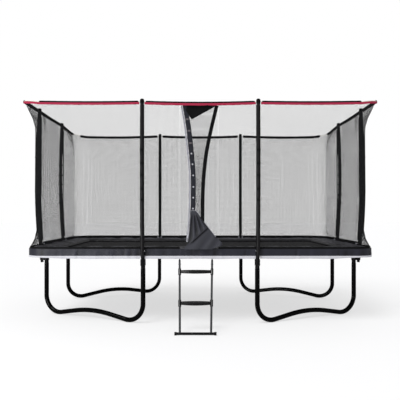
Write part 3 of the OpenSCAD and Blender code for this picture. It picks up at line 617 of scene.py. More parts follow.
def strands(parts, point, a, b, length, rows):
    """Cords of one panel: uprights follow v, rows follow s."""
    count = max(2, int(round(length / PITCH)))
    s = a + (b - a) * (np.arange(count) + 0.5) / count
    v = np.concatenate([np.linspace(0, 0.12, 3), np.linspace(0.24, 0.72, 4), np.linspace(0.8, 1, 5)])
    p = point(s[:, None], v[None, :])
    normal = unit(np.cross(np.gradient(p, axis=0), np.gradient(p, axis=1)))
    parts.add(*tubes(p, CORD, 3, normal))
    lines = int(round(NET_HEIGHT / PITCH))
    v = (np.arange(lines) + 0.5) / lines
    parts.add(*tubes(point(np.asarray(rows, float)[None, :], v[:, None]), CORD, 3, (0, 0, 1)))


def net_piece(name, panels, replaces):
    parts = Parts()
    for point, a, b, length, rows in panels:
        strands(parts, point, a, b, length, rows)
    return parts.build(name, "net_mesh", replaces=replaces, crease=0)


def straight(side, s0, s1, poles, z_top):
    count = max(3, int(abs(s1 - s0) / 0.16))
    return straight_panel(side, poles, z_top), s0, s1, abs(s1 - s0), np.linspace(s0, s1, count)


corner_rows = np.concatenate([np.linspace(0, 0.56, 7), np.linspace(0.581, 0.763, 8),
                              np.linspace(0.80, 1, 5)])
for name, (sx, sy) in CORNERS.items():
    net_piece("net_corner_" + name, [(corner_panel(sx, sy), 0, 1, 2.16, corner_rows)], ["net_corners"])
GATE_LEFT, GATE_RIGHT = -0.250, 0.222      # the front panels end here on both sides of the entrance
for name, side, spans in (("net_front_panels", "front", ((-LEG_X, GATE_LEFT), (GATE_RIGHT, LEG_X))),
                          ("net_rear_panel", "rear", ((-LEG_X, LEG_X),)),
                          ("net_left_panel", "left", ((-LEG_Y, LEG_Y),)),
                          ("net_right_panel", "right", ((-LEG_Y, LEG_Y),))):
    pole, ring = (LEG_X, RING_LOW) if side in LONG else (LEG_Y, RING_HIGH)
    net_piece(name, [straight(side, s0, s1, (-pole, pole), ring - 0.012) for s0, s1 in spans],
              ["net_" + side])


# the inner layer that closes the entrance
def door_point(s, v):
    z = 0.950 + v * (2.670 - 0.950)
    return at("front", s, 0.041 + 0.0012 * np.sin(s * 30 + 2 * v), z)


parts = Parts()
strands(parts, door_point, -0.246, 0.218, 0.464, np.linspace(-0.246, 0.218, 5))
parts.build("entrance_net", "net_mesh", body="entrance_panel", replaces=["entrance_flap"], crease=0)


# black bands sewn down the net at each pole, and the hem along its foot
def ribbon(points, width_dir, width, normal, thick, bulge=0.0):
    """A closed flat band along points: width across width_dir, outer face towards normal."""
    p = np.asarray(points, float)
    w = np.linspace(-0.5, 0.5, 5)
    d = unit(np.broadcast_to(np.asarray(width_dir, float), p.shape))
    n = unit(np.broadcast_to(np.asarray(normal, float), p.shape))
    g = p[:, None] + d[:, None] * (w * width)[None, :, None] \
        + n[:, None] * (bulge * (1 - (2 * w) ** 2))[None, :, None]
    return facing(g, thick, n[:, None])


parts = Parts()
for side, s in POLES:
    z = np.linspace(1.000, 2.690, 22)
    out = net_out(z) + 0.0022
    along = np.abs(np.cross(outward(side), (0, 0, 1)))
    parts.add(*ribbon(at(side, s, out, z), along, 0.048, outward(side), 0.0012, 0.0006))
    # towards the top the band wraps out to the pole
    z = np.linspace(2.10, 2.690, 12)[:, None]
    inner = net_out(z) + 0.0012
    wrap = (pole_out(z) - 0.0235 - inner) * smooth(2.10, 2.42, z) + 0.001
    parts.add(*facing(at(side, s, inner + wrap * np.linspace(0, 1, 4), z), 0.0012, along))
parts.build("pole_bands", "black_webbing", replaces=["net_pole_bands"])

HEM_FRONT, HEM_REST = 0.018, 0.042         # height of the net's lower hem


def hem_band(point, values, height):
    v = np.linspace(-0.0045, height / 1.774, 5)
    g = point(np.asarray(values)[:, None], v[None, :])
    n = unit(np.cross(np.gradient(g, axis=0), np.gradient(g, axis=1)))
    centre = np.array([0, YC, 0])
    flip = ((g - centre) * n * [1, 1, 0]).sum() < 0
    n = -n if flip else n
    n = unit(n * [1, 1, 0])
    bead = 0.0018 + 0.0012 * np.cos(np.linspace(0, 2 * np.pi, 5))
    g = g + n * bead[None, :, None]
    verts, faces = sheet(g, 0.0014, n)
    return verts, [tuple(reversed(f)) for f in faces] if flip else faces


parts = Parts()
for sx, sy in CORNERS.values():
    parts.add(*hem_band(corner_panel(sx, sy), np.linspace(0.002, 0.998, 60),
                        HEM_FRONT if sy < 0 else HEM_REST))
for side, s0, s1 in (("front", -LEG_X, GATE_LEFT), ("front", GATE_RIGHT, LEG_X), ("rear", -LEG_X, LEG_X),
                     ("left", -LEG_Y, LEG_Y), ("right", -LEG_Y, LEG_Y)):
    pole = LEG_X if side in LONG else LEG_Y
    parts.add(*hem_band(straight_panel(side, (-pole, pole), RING_LOW), np.linspace(s0, s1, 24),
                        HEM_FRONT if side == "front" else HEM_REST))
parts.build("net_foot_hem", "black_webbing", replaces=["net_bottom_hem"])

# small pale ties that hold the net's foot beside the poles
parts = Parts()
for side, s in POLES:
    if side == "front":
        continue
    for ds in ((-0.030, 0.030) if side == "rear" else (0.028,)):
        z = 0.948 + np.array([-0.011, -0.009, 0.009, 0.011])
        parts.add(*tubes(at(side, s + ds, net_out(z) - 0.006, z), [0.007, 0.0105, 0.0105, 0.007], 12,
                         outward(side)))
parts.build("net_foot_ties", "grey_tape", crease=50)

# ---- top ring: rods, sleeve and crimson band ----

RX, RY = FX + 0.100, FY + 0.100
BEND = 0.250
CX, CY = RX - BEND, RY - BEND


def side_run(side, s0, s1):
    """Rod points and outward directions between two places of one side."""
    s = np.linspace(s0, s1, max(8, int(abs(s1 - s0) / 0.025)))
    high = RING_LOW if side in LONG else RING_HIGH
    n = np.broadcast_to(np.array(outward(side), float), (len(s), 3))
    return at(side, s, 0.100, high + ring_drop(side, s)), n


def bend_run(sx, sy, a0, a1):
    """The same on a corner, from a0 to a1 degrees away from the long side."""
    a = np.radians(np.linspace(a0, a1, max(3, int(abs(a1 - a0) / 4))))
    long_side, short_end = ("front", -CY) if sy < 0 else ("rear", CY)
    t = (1 + np.sin(a) - np.cos(a)) / 2
    z = RING_LOW + (RING_HIGH - RING_LOW) * t + (1 - t) * ring_drop(long_side, CX) \
        + t * ring_drop("right", short_end)
    n = np.stack([sx * np.sin(a), sy * np.cos(a), 0 * a], -1)
    p = np.stack([sx * (CX + BEND * np.sin(a)), YC + sy * (CY + BEND * np.cos(a)), z], -1)
    return p, n


def joined(*runs):
    p = np.concatenate([r[0] for r in runs])
    n = np.concatenate([r[1] for r in runs])
    keep = np.concatenate([[True], np.linalg.norm(np.diff(p, axis=0), axis=1) > 0.001])
    return p[keep], n[keep]


# a drop-shaped section: round over the rod, with a tail that backs the band
DROP = np.array([(0.0, 0.0145), (0.0095, 0.0112), (0.0142, 0.003), (0.0148, -0.010), (0.0148, -0.0225),
                 (0.0146, -0.0352), (0.0130, -0.0352), (0.0124, -0.0225), (0.0050, -0.0150),
                 (-0.0070, -0.0128), (-0.0135, -0.0050), (-0.0128, 0.0060), (-0.0080, 0.0122)])
THIN = np.stack([DROP[:, 0], np.maximum(DROP[:, 1], -0.0255)], -1)
rods, sleeve, band = Parts(), Parts(), Parts()
wob = rng(11)


def cover(p, n, outline=DROP):
    phase = wob.uniform(0, 6, 2)
    d = distance(p)
    size = 1 + 0.045 * np.sin(d * 60 + phase[0]) * np.sin(d * 23 + phase[1])
    size[[0, -1]] -= 0.12
    verts, faces = section_loft(p, n, (0, 0, 1), outline * size[:, None, None])
    if np.dot(np.cross(n[0], (0, 0, 1)), p[1] - p[0]) < 0:
        faces = [tuple(reversed(f)) for f in faces]
    sleeve.add(verts, faces)


def hang_band(p, n, drop=0.0275):
    phase = wob.uniform(0, 6, 2)
    d = distance(p)[:, None]
    v = np.linspace(0, 1, 6)
    out = 0.0158 + 0.0010 * np.sin(d * 27 + phase[0]) * v ** 2
    down = 0.0075 + drop * v + 0.0010 * np.sin(d * 31 + phase[1]) * v
    g = p[:, None] + n[:, None] * out[..., None] - np.array([0, 0, 1.0]) * down[..., None]
    band.add(*facing(g, 0.0007, n[:, None]))


SLEEVE_GAP, BAND_GAP, CORNER_GAP = 0.045, 0.031, 0.006
SHORT_BAND = 0.0170            # how far the band hangs, apart from the front
for side in SIDES:
    pole = LEG_X if side in LONG else LEG_Y
    rods.add(*tubes(side_run(side, -pole, pole)[0], 0.005, 12, (0, 0, 1)))
    middle = side_run(side, SLEEVE_GAP - pole, pole - SLEEVE_GAP)
    if side == "front":
        cover(*middle)
        hang_band(*side_run(side, BAND_GAP - pole, pole - BAND_GAP))
    else:
        cover(*middle, THIN)
        hang_band(*middle, SHORT_BAND)
for sx, sy in CORNERS.values():
    long_side, short_side = ("front" if sy < 0 else "rear"), ("left" if sx < 0 else "right")
    first = side_run(long_side, sx * (LEG_X + 0.001), sx * CX)
    last = side_run(short_side, sy * CY, sy * (LEG_Y + 0.001))
    rods.add(*tubes(joined(first, bend_run(sx, sy, 0, 90), last)[0], 0.005, 12, (0, 0, 1)))
    # the bare rod shows on each bend: above the band in front, between two sleeves at the rear
    last = joined(bend_run(sx, sy, 67, 90), side_run(short_side, sy * CY, sy * (LEG_Y + SLEEVE_GAP)))
    cover(*last, THIN)
    hang_band(*last, SHORT_BAND)
    if sy < 0:
        cover(*side_run(long_side, sx * (LEG_X + SLEEVE_GAP), sx * (CX - CORNER_GAP)))
        hang_band(*joined(side_run(long_side, sx * (LEG_X + BAND_GAP), sx * CX), bend_run(sx, sy, 0, 60)))
    else:
        first = joined(side_run(long_side, sx * (LEG_X + SLEEVE_GAP), sx * CX), bend_run(sx, sy, 0, 33))
        cover(*first, THIN)
        hang_band(*first, SHORT_BAND)
rods.build("ring_rod_set", "glass_fibre_rod", replaces=["ring_rods"])
sleeve.build("ring_sleeve", "black_webbing", replaces=["net_top_sleeve"], crease=50)
band.build("ring_band", "crimson_tape", replaces=["net_top_band"])

# ---- mat, border and webbing tabs ----

mx, my, cut = FX - 0.225, FY - 0.225, 0.060
HEM = 0.046


def cut_plate(x, y, c, z):
    c = max(c, 0.001)
    pts = [(x, y - c), (x - c, y), (-x + c, y), (-x, y - c), (-x, -y + c), (-x + c, -y), (x - c, -y),
           (x, -y + c)]
    return np.array([(a, YC + b, z) for a, b in pts])


ix, iy, ic = mx - HEM, my - HEM, cut - HEM * 0.586
xs = np.linspace(-ix, ix, 61)
ys = np.linspace(-iy, iy, 33)
gx, gy = np.meshgrid(xs, ys, indexing="ij")
over = np.clip(np.abs(gx) + np.abs(gy) - (ix + iy - ic), 0, None) / 2
gx, gy = gx - np.sign(gx) * over, gy - np.sign(gy) * over
sag = -0.004 * (1 - (gx / ix) ** 2) * (1 - (gy / iy) ** 2)
top = np.stack([gx, gy + YC, MAT_TOP + sag], -1)
parts = Parts()
parts.add(*sheet(top, 0.002, (0, 0, 1)))
parts.build("mat_sheet", "mat_weave", body="jumping_mat", replaces=["mat"])

parts = Parts()
rows = []
for inset, z in ((HEM, MAT_TOP - 0.002), (HEM, MAT_TOP + 0.0022), (HEM - 0.004, MAT_TOP + 0.0028),
                 (0.004, MAT_TOP + 0.0028), (0, MAT_TOP + 0.0020), (0, MAT_TOP - 0.002)):
    rows.append(cut_plate(mx - inset, my - inset, cut - inset * 0.586, z))
ring = np.stack(rows, 1)
parts.add(*((ring.reshape(-1, 3), [(i * 6 + a, i * 6 + (a + 1) % 6, ((i + 1) % 8) * 6 + (a + 1) % 6,
                                    ((i + 1) % 8) * 6 + a) for i in range(8) for a in range(6)])))
# two rows of stitches in the border
for inset in (0.008, 0.038):
    line = cut_plate(mx - inset, my - inset, cut - inset * 0.586, MAT_TOP + 0.0030)
    for i in range(8):
        a, b = line[i], line[(i + 1) % 8]
        length = np.linalg.norm(b - a)
        count = max(1, int(length / 0.028))
        t = (np.arange(count) + 0.5) / count
        d = (b - a) / length
        starts = a + (b - a) * t[:, None] - d * 0.008
        path = starts[:, None] + d * np.linspace(0, 0.016, 3)[:, None]
        parts.add(*tubes(path, 0.0009, 4, (0, 0, 1)))
parts.build("mat_border", "black_webbing", body="jumping_mat", replaces=["mat_hem"])

pitch_long, pitch_short = (2 * mx - 0.150) / 32, (2 * my - 0.150) / 16
parts = Parts()
SPRING_PLACES = {}
for side in SIDES:
    count, pitch = (32, pitch_long) if side in LONG else (16, pitch_short)
    SPRING_PLACES[side] = [(i - (count - 1) / 2) * pitch for i in range(count)]
    out = np.array(outward(side), float)
    along = np.abs(np.cross(out, (0, 0, 1)))
    for s in SPRING_PLACES[side]:
        # a loop of webbing round the ring's base
        path = at(side, s, [-0.264, -0.236, -0.2262, -0.2240, -0.2262, -0.236, -0.264],
                  [0.8938, 0.8938, 0.8936, 0.8950, 0.8968 + 0.0008, 0.8978, 0.8940 + 0.002])
        w = 0.0115
        outline = [(-0.0006, -w), (0.0006, -w), (0.0006, w), (-0.0006, w)]
        t = unit(np.gradient(path, axis=0))
        e2 = np.broadcast_to(along, t.shape)
        e1 = np.cross(e2, t)
        parts.add(*section_loft(path, e1, e2, outline))
parts.build("mat_tabs", "black_webbing", body="jumping_mat")

# ---- springs ----

SPRING_Z = 0.901
for side in SIDES:
    parts = Parts()
    turns, per = 18, 9
    a = np.linspace(0, 2 * math.pi * turns, turns * per + 1)
    coil_r = 0.0084
    run = np.linspace(0.034, 0.178, len(a))
    dx, dz = coil_r * np.cos(a), coil_r * np.sin(a)
    ease = np.minimum(1, np.minimum(a, a[-1] - a) / 2.5)
    outer_hook = [(0.010, -0.019), (0.010, -0.008), (0.0115, -0.003), (0.015, 0.0), (0.026, 0.0)]
    inner_hook = [(0.186, 0.0), (0.198, 0.0), (0.2026, -0.0019), (0.2045, -0.0065), (0.2026, -0.0111),
                  (0.198, -0.0130)]
    i_path = np.array([p[0] for p in outer_hook] + list(run) + [p[0] for p in inner_hook])
    z_path = np.array([p[1] for p in outer_hook] + list(dz * ease) + [p[1] for p in inner_hook])
    s_path = np.array([0] * len(outer_hook) + list(dx * ease) + [0] * len(inner_hook))
    all_paths = np.stack([at(side, s + s_path, -i_path, SPRING_Z + z_path) for s in SPRING_PLACES[side]])
    ref = np.zeros_like(all_paths) + np.array(outward(side), float)
    t = unit(np.gradient(all_paths, axis=1))
    ref = np.where(np.abs((ref * t).sum(-1, keepdims=True)) > 0.9, np.array([0, 0, 1.0]), ref)
    parts.add(*tubes(all_paths, 0.00155, 5, ref))
    obj = parts.build("spring_set_" + side, "zinc_steel", body=None, replaces=["springs_" + side],
                      crease=0)
    start = at(side, 0.0, -0.036, SPRING_Z)
    end = at(side, 0.0, -0.196, SPRING_Z)
    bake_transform(obj)

# ---- pads ----

PX, PY = FX + 0.055, FY + 0.055
PAD_W, PAD_R = 0.325, 0.240
SLOT_HALF = 0.027              # half of the skirt's slot at a pole


def pad_edges(long_side, count):
    """Outer and inner edges of one pad from mitre to mitre, as plan points (n, 2), +Y outwards."""
    lx, ly = (PX, PY) if long_side else (PY, PX)
    half = lx - PAD_W - 0.050
    s = np.linspace(-half, half, count)
    outer = [(v, ly) for v in s]
    inner = [(v, ly - PAD_W) for v in s]
    run = lx - PAD_R - half
    total = run + PAD_R * math.pi / 4
    k = 12
    right_o, right_i = [], []
    for i in range(1, k + 1):
        d = total * i / k
        if d <= run:
            right_o.append((half + d, ly))
        else:
            a = (d - run) / PAD_R
            right_o.append((half + run + PAD_R * math.sin(a), ly - PAD_R + PAD_R * math.cos(a)))
        t = i / k
        right_i.append((half + 0.025 * t, ly - PAD_W - 0.025 * t))
    # the mitre leaves a thin gap between neighbours
    gap = 0.0014
    right_o = [(x - gap * (i + 1) / k, y) for i, (x, y) in enumerate(right_o)]
    right_i = [(x - gap * (i + 1) / k, y) for i, (x, y) in enumerate(right_i)]
    left_o = [(-x, y) for x, y in reversed(right_o)]
    left_i = [(-x, y) for x, y in reversed(right_i)]
    return np.array(left_o + outer + right_o), np.array(left_i + inner + right_i)


def wrinkles(x, y, seed, terms=26):
    """Broad soft folds of a loose cover: a sum of seeded plane waves, about -1 to 1."""
    g = rng(seed)
    h = np.zeros_like(x)
    for _ in range(terms):
        a = g.normal(0, 0.5) + (0 if g.uniform() < 0.7 else 1.2)
        k = 2 * math.pi / g.uniform(0.09, 0.42)
        h += g.uniform(0.4, 1) * np.sin(k * (x * math.cos(a) + y * math.sin(a)) + g.uniform(0, 6.3))
    return h / math.sqrt(terms) / 0.8


def plan_to_row(side, p):
    """Plan points (.., 2) of a side's own frame to row X and Y."""
    s, o = p[..., 0], p[..., 1]
    if side == "front":
        return s, YC - o
    if side == "rear":
        return s, YC + o
    if side == "right":
        return o, YC + s
    return -o, YC + s


CLOTH_FRAMES = 20
MOST_RISE = 0.012              # no point of a pad moves further than this


def crumple(obj, held, cap):
    """Lets a padded cover crumple as cloth that has grown a little, held where it is sewn down."""
    mesh = obj.data
    start = np.zeros(len(mesh.vertices) * 3)
    mesh.vertices.foreach_get("co", start)
    group = obj.vertex_groups.new(name="held")
    group.add([int(i) for i in held], 1.0, "REPLACE")
    cloth = obj.modifiers.new("cloth", "CLOTH")
    c = cloth.settings
    c.vertex_group_mass = "held"
    c.quality = 5
    c.mass = 0.3
    c.tension_stiffness = c.compression_stiffness = 10
    c.shear_stiffness = 5
    c.bending_stiffness = 0.3
    c.shrink_min = -0.012
    c.use_pressure = True
    c.uniform_pressure_force = 0.6
    c.effector_weights.gravity = 0
    cloth.collision_settings.use_collision = False
    cloth.point_cache.frame_start, cloth.point_cache.frame_end = 1, CLOTH_FRAMES
    for f in range(1, CLOTH_FRAMES + 1):
        scene.frame_set(f)
    made = obj.evaluated_get(bpy.context.evaluated_depsgraph_get())
    end = np.zeros_like(start)
    made.data.vertices.foreach_get("co", end)
    obj.modifiers.remove(cloth)
    obj.vertex_groups.remove(group)
    move = (end - start).reshape(-1, 3)
    far = np.linalg.norm(move, axis=1, keepdims=True)
    print("crumpled", obj.name, "moved up to", round(float(far.max()) * 1000, 1), "mm")
    move *= np.minimum(1, cap / np.maximum(far, 1e-9))
    mesh.vertices.foreach_set("co", (start.reshape(-1, 3) + move).ravel())
    mesh.update()
    scene.frame_set(1)


SEAM = 0.60            # a quilting seam, as a share of the pad's width from its inner edge
scene.gravity = (0, 0, 0)
for side, seed in (("front", 21), ("rear", 22), ("left", 23), ("right", 24)):
    outer, inner = pad_edges(side in LONG, 168 if side in LONG else 74)
    w = np.concatenate([[0.0, 0.018, 0.06], np.linspace(0.11, 0.55, 8), [SEAM - 0.018, SEAM, SEAM + 0.018],
                        np.linspace(0.66, 0.92, 5), [0.955, 0.985, 1.0]])
    p = inner[:, None] + (outer - inner)[:, None] * w[None, :, None]
    rim = np.minimum(np.minimum(w, 1 - w) * PAD_W / 0.012, 1)
    rim = 0.18 + 0.82 * np.sqrt(np.clip(1 - (1 - rim) ** 2, 0, 1))
    fold = np.clip(wrinkles(p[..., 0], p[..., 1], seed) * 0.6 + 0.5, 0, 1.15)
    soft = smooth(0, 0.20, w) * smooth(0, 0.08, 1 - w) * smooth(0, 0.06, np.abs(w - SEAM))
    droop = 0.0165 * (1 - smooth(0, 0.12, w))
    z_top = 0.922 + 0.0092 * rim + (0.0130 * fold - 0.0030) * soft - droop \
        - 0.0065 * np.exp(-((w - SEAM) / 0.014) ** 2)
    z_bot = 0.922 - 0.0095 * rim - droop + 0 * z_top
    rx, ry = plan_to_row(side, p)
    top, bottom = np.stack([rx, ry, z_top], -1), np.stack([rx, ry, z_bot], -1)
    verts, faces = facing(top, 0.01, (0, 0, 1))
    count = top.shape[0] * top.shape[1]
    verts[count:] = bottom.reshape(-1, 3)
    cover_piece = piece("pad_cover_" + side, verts, faces, "pad_cover", replaces=["pad_" + side], crease=0)
    # painted shade: darker in the cover's low folds and along the quilting seam
    mark_painted_fold_shade(cover_piece, 1.05 - 1.7 * fold * soft + 0.8 * np.exp(-((w - SEAM) / 0.02) ** 2))
    sewn = (np.minimum(w, 1 - w) < 0.03) | (np.abs(w - SEAM) < 0.001)
    sewn = np.broadcast_to(sewn, z_top.shape).copy()
    sewn[[0, -1]] = True
    held = np.concatenate([np.flatnonzero(sewn.ravel()), np.arange(count, 2 * count)])
    crumple(cover_piece, held, MOST_RISE)
    sub = cover_piece.modifiers.new("smooth", "SUBSURF")
    sub.levels = sub.render_levels = 1

# ---- skirt and its pale hem ----

def rim_path(spacing):
    """The pad's outer edge in runs between the poles' slots: rows of x, y and the outward normal."""
    x, y, r, g = PX, PY, PAD_R, SLOT_HALF
    # each side's spans in order, its points, its normal, and the bend that follows: centre and angle
    sides = (
        (((0.0, LEG_X - g), (LEG_X + g, x - r)), lambda a: (a, -y), (0, -1), (x - r, -y + r, -math.pi / 2)),
        (((-y + r, -LEG_Y - g), (-LEG_Y + g, LEG_Y - g), (LEG_Y + g, y - r)), lambda a: (x, a), (1, 0),
         (x - r, y - r, 0)),
        (((x - r, LEG_X + g), (LEG_X - g, -LEG_X + g), (-LEG_X - g, -x + r)), lambda a: (a, y), (0, 1),
         (-x + r, y - r, math.pi / 2)),
        (((y - r, LEG_Y + g), (LEG_Y - g, -LEG_Y + g), (-LEG_Y - g, -y + r)), lambda a: (-x, a), (-1, 0),
         (-x + r, -y + r, math.pi)),
        (((-x + r, -LEG_X - g), (-LEG_X + g, 0.0)), lambda a: (a, -y), (0, -1), None),
    )
    runs, run, steps = [], [], 20
    for spans, place, normal, bend in sides:
        for k, (a, b) in enumerate(spans):
            (x0, y0), (x1, y1) = place(a), place(b)
            n = max(2, int(math.hypot(x1 - x0, y1 - y0) / spacing))
            run += [(x0 + (x1 - x0) * (i / n), y0 + (y1 - y0) * (i / n)) + normal for i in range(n)]
            if k < len(spans) - 1:
                runs.append(run + [place(b) + normal])
                run = []
        if bend:
            cx, cy, a0 = bend
            for a in (a0 + math.pi / 2 * i / steps for i in range(steps)):
                run.append((cx + PAD_R * math.cos(a), cy + PAD_R * math.sin(a), math.cos(a), math.sin(a)))
    runs[0] = run + runs[0]   # the last run meets the first in the middle of the front
    return [np.array(r) for r in runs]


def hang(run, out, z):
    """A grid of points that stands out from a run of the rim, at heights z."""
    return np.stack([run[:, None, 0] + run[:, None, 2] * out, YC + run[:, None, 1] + run[:, None, 3] * out,
                     np.broadcast_to(z, out.shape)], -1)


skirt, hem, painted_crease_shade = Parts(), Parts(), []
g = rng(31)
for run in rim_path(0.014):
    run = run[np.concatenate([[True], np.linalg.norm(np.diff(run[:, :2], axis=0), axis=1) > 1e-6])]
    d = distance(run[:, :2])
    total = d[-1]
    # creases: narrow dents and soft waves along the run, deeper towards the lower edge
    crease = np.zeros_like(d)
    wave = np.zeros_like(d)
    for _ in range(max(3, int(total / 0.11))):
        c, wd = g.uniform(0, total), g.uniform(0.010, 0.034)
        crease += g.uniform(0.3, 1) * g.choice([-1, 1]) * np.exp(-((d - c) / wd) ** 2)
    for _ in range(6):
        wave += g.uniform(0.3, 1) * np.sin(2 * math.pi * d / g.uniform(0.18, 0.7) + g.uniform(0, 6.3))
    crease = np.clip(crease, -1.3, 1.3)
    z = np.array([0.9300, 0.9240, 0.9080, 0.8900, 0.8720, 0.8560, 0.8434])
    drop = (0.930 - z) / (0.930 - 0.8434)
    out = 0.0022 + (0.0065 * crease[:, None] + 0.0016 * wave[:, None]) * drop ** 0.8 \
        + 0.0012 * np.sin(9 * drop + 5 * d[:, None]) * drop
    out = np.maximum(out, 0.0012 - 0.002 * drop) + 0.0024 * drop
    n3 = np.stack([run[:, 2], run[:, 3], 0 * d], -1)[:, None]
    skirt.add(*facing(hang(run, out, z), 0.0012, n3))
    # painted shade: darker where a crease dents inwards, more so towards the lower edge
    painted_crease_shade.append(np.tile((0.20 - 1.1 * crease[:, None] * drop ** 0.5).ravel(), 2))
    z = np.array([0.8450, 0.8445, 0.8300, 0.8120, 0.8095])
    edge = 0.0018 * np.sin(11 * d + 1)[:, None] + 0.0015 * wave[:, None] / 2
    out_h = out[:, -1:] + np.array([0.0006, 0.0014, 0.0018, 0.0020, 0.0008])
    rise = 0.014 * smooth(PX + PY - 0.70, PX + PY - 0.16, np.abs(run[:, 0]) + np.abs(run[:, 1]))[:, None]
    zz = np.broadcast_to(z, out_h.shape) + (edge + rise) * np.array([0.0, 0.0, 0.3, 1, 1])
    hem.add(*facing(hang(run, out_h, zz), 0.0016, n3))
mark_painted_fold_shade(skirt.build("skirt_cloth", "skirt_fabric", replaces=["pad_skirt"], crease=70),
             np.concatenate(painted_crease_shade))
hem.build("skirt_trim", "pale_trim", replaces=["skirt_hem"], crease=70)

# ---- entrance ----

def gate_x(z, column):
    """The gate's edge at height z, straight on above its top row."""
    zs = np.array([g[0] for g in GATE])[::-1]
    xs = np.array([g[column] for g in GATE])[::-1]
    top_slope = (xs[-1] - xs[-2]) / (zs[-1] - zs[-2])
    return np.interp(z, zs, xs) + np.maximum(z - zs[-1], 0) * top_slope


def gate_strip(name, slot, left, right, z0, z1, out, thick, bulge, replaces, ripple=0.001, rows=44,
               material=None):
    """A cloth strip between two edge functions of height."""
    z = np.linspace(z0, z1, rows)
    u = np.linspace(0, 1, 9)
    s = left(z)[:, None] + (right(z) - left(z))[:, None] * u
    o = out + bulge * np.sin(np.pi * u) + ripple * np.sin(z * 23)[:, None] * np.sin(2.2 * u * np.pi)
    grid = at("front", s, o, z[:, None] + 0 * u)
    return piece(name, *facing(grid, thick, (0, -1, 0)), slot, replaces=replaces, crease=60,
                 material=material)


def curve_x(z, column):
    """The gate's edge as a smooth curve."""
    z = np.asarray(z, float)
    return sum(gate_x(z + dz, column) for dz in np.linspace(-0.10, 0.10, 9)) / 9


gate_strip("entrance_strip_left_cloth", "slate_fabric", lambda z: curve_x(z, 1),
           lambda z: curve_x(z, 1) + 0.060, GATE_FOOT, GATE_TOP, 0.0935, 0.0012, 0.0022,
           ["entrance_strip_left"], material=slate_strip)
gate_strip("entrance_strip_right_cloth", "black_webbing", lambda z: curve_x(z, 2) - 0.004,
           lambda z: curve_x(z, 2) + 0.042, GATE_FOOT, GATE_TOP, 0.0935, 0.0012, 0.0016,
           ["entrance_strip_right"])

# the outer layer's overlap between the two strips, drawn together towards its foot
parts = Parts()
uprights = (np.arange(22) + 0.5)[:, None] / 22, np.linspace(1.300, GATE_TOP, 18), (0, -1, 0)
rows = np.linspace(0, 1, 4), np.linspace(1.300, GATE_TOP, 160)[:, None], (0, 0, 1)
for share, z, ref in (uprights, rows):
    left, right = curve_x(z, 1) + 0.050, curve_x(z, 2) + 0.004
    parts.add(*tubes(at("front", left + (right - left) * share, 0.0885, z), CORD, 3, ref))
parts.build("entrance_overlap", "net_mesh", crease=0)


TAPE_FOOT = 1.020


def tape_left(z):
    z = np.asarray(z, float)
    share = (z - TAPE_FOOT) / (GATE_FOOT - TAPE_FOOT)
    low = -0.170 + share * (float(curve_x(GATE_FOOT, 1)) - 0.024 + 0.170)
    return np.where(z < GATE_FOOT, low, curve_x(z, 1) - 0.024)


gate_strip("zip_tape_cloth", "grey_tape", tape_left, lambda z: tape_left(z) + 0.0215, TAPE_FOOT, GATE_TOP,
           0.0930, 0.0010, 0.0006, ["entrance_zip_tape"], ripple=0.0006, rows=60)

# zip teeth down the middle of the tape
parts = Parts()
for z in np.arange(1.115, 2.668, 0.0065):
    x = float(tape_left(z)) + 0.0108
    p = at("front", [x - 0.0032, x + 0.0032], 0.0950, [z, z])
    parts.add(*tubes(p, 0.0014, 4, (0, 0, 1), phase=math.pi / 4))
parts.build("zip_teeth", "black_plastic", crease=0)

# the dark gusset under the rod
t = np.linspace(0, 1, 14)[:, None]
x0 = -0.218 + (-0.103 + 0.218) * t
x1 = np.maximum(0.218 + (-0.103 - 0.218) * t, x0 + 0.002)
row = x0 + (x1 - x0) * np.linspace(0, 1, 22)
z = 2.684 - (2.684 - 2.507) * t
tri = at("front", row, 0.0955 + 0.002 * np.sin(row * 40 + 3 * t), z)
piece("entrance_gusset_cloth", *facing(tri, 0.0014, (0, -1, 0)), "black_webbing",
      replaces=["entrance_gusset"], crease=60)

# the pleated apron, from the strips' feet down over the pad
left_edge = np.array([(-0.118, 1.395), (-0.128, 1.262), (-0.146, 1.000), (-0.198, 0.936), (-0.200, 0.928)])
right_edge = np.array([(-0.050, 1.395), (-0.005, 1.335), (0.046, 1.262), (0.187, 1.080), (0.262, 1.015),
                       (0.268, 0.972), (0.150, 0.936), (0.140, 0.928)])
z = np.linspace(1.395, 0.928, 118)
u = np.linspace(0, 1, 111)
lx = np.interp(-z, -left_edge[:, 1], left_edge[:, 0])
rx = np.interp(-z, -right_edge[:, 1], right_edge[:, 0])
s = lx[:, None] + (rx - lx)[:, None] * u
zz = z[:, None] + 0 * u
down = (1.395 - zz) / (1.395 - 0.928)
# d is the distance below the main crease, from (0.073, 1.170) to (-0.105, 1.010)
d = (s - 0.073) * 0.669 - (zz - 1.170) * 0.744
fan = np.degrees(np.arctan2(s + 0.085, 1.470 - zz))
upper = 1 - smooth(-0.030, 0.010, d)
ridges = (0.5 + 0.5 * np.sin(np.radians(fan * 30 + 40))) ** 1.6 * smooth(0.02, 0.25, down)
lower = 0.0030 * np.sin(s * 46 - zz * 30) * smooth(0.05, 0.12, d) + 0.004 * smooth(0, 0.08, d)
edge = smooth(0, 0.05, u) * smooth(0, 0.05, 1 - u)
fold_over = 0.0170 * smooth(-0.075, -0.010, d) * (1 - smooth(-0.004, 0.003, d)) * smooth(-0.14, -0.07, s)
o = 0.0970 + edge * (0.0150 * ridges * upper * (1 - smooth(-0.06, 0.0, d)) + lower * (1 - upper) + fold_over)
o = np.maximum(o, 0.0955)
apron = piece("entrance_apron_cloth", *facing(at("front", s, o, zz), 0.0016, (0, -1, 0)), "slate_fabric",
              replaces=["entrance_apron"], crease=75, material=apron_cloth)
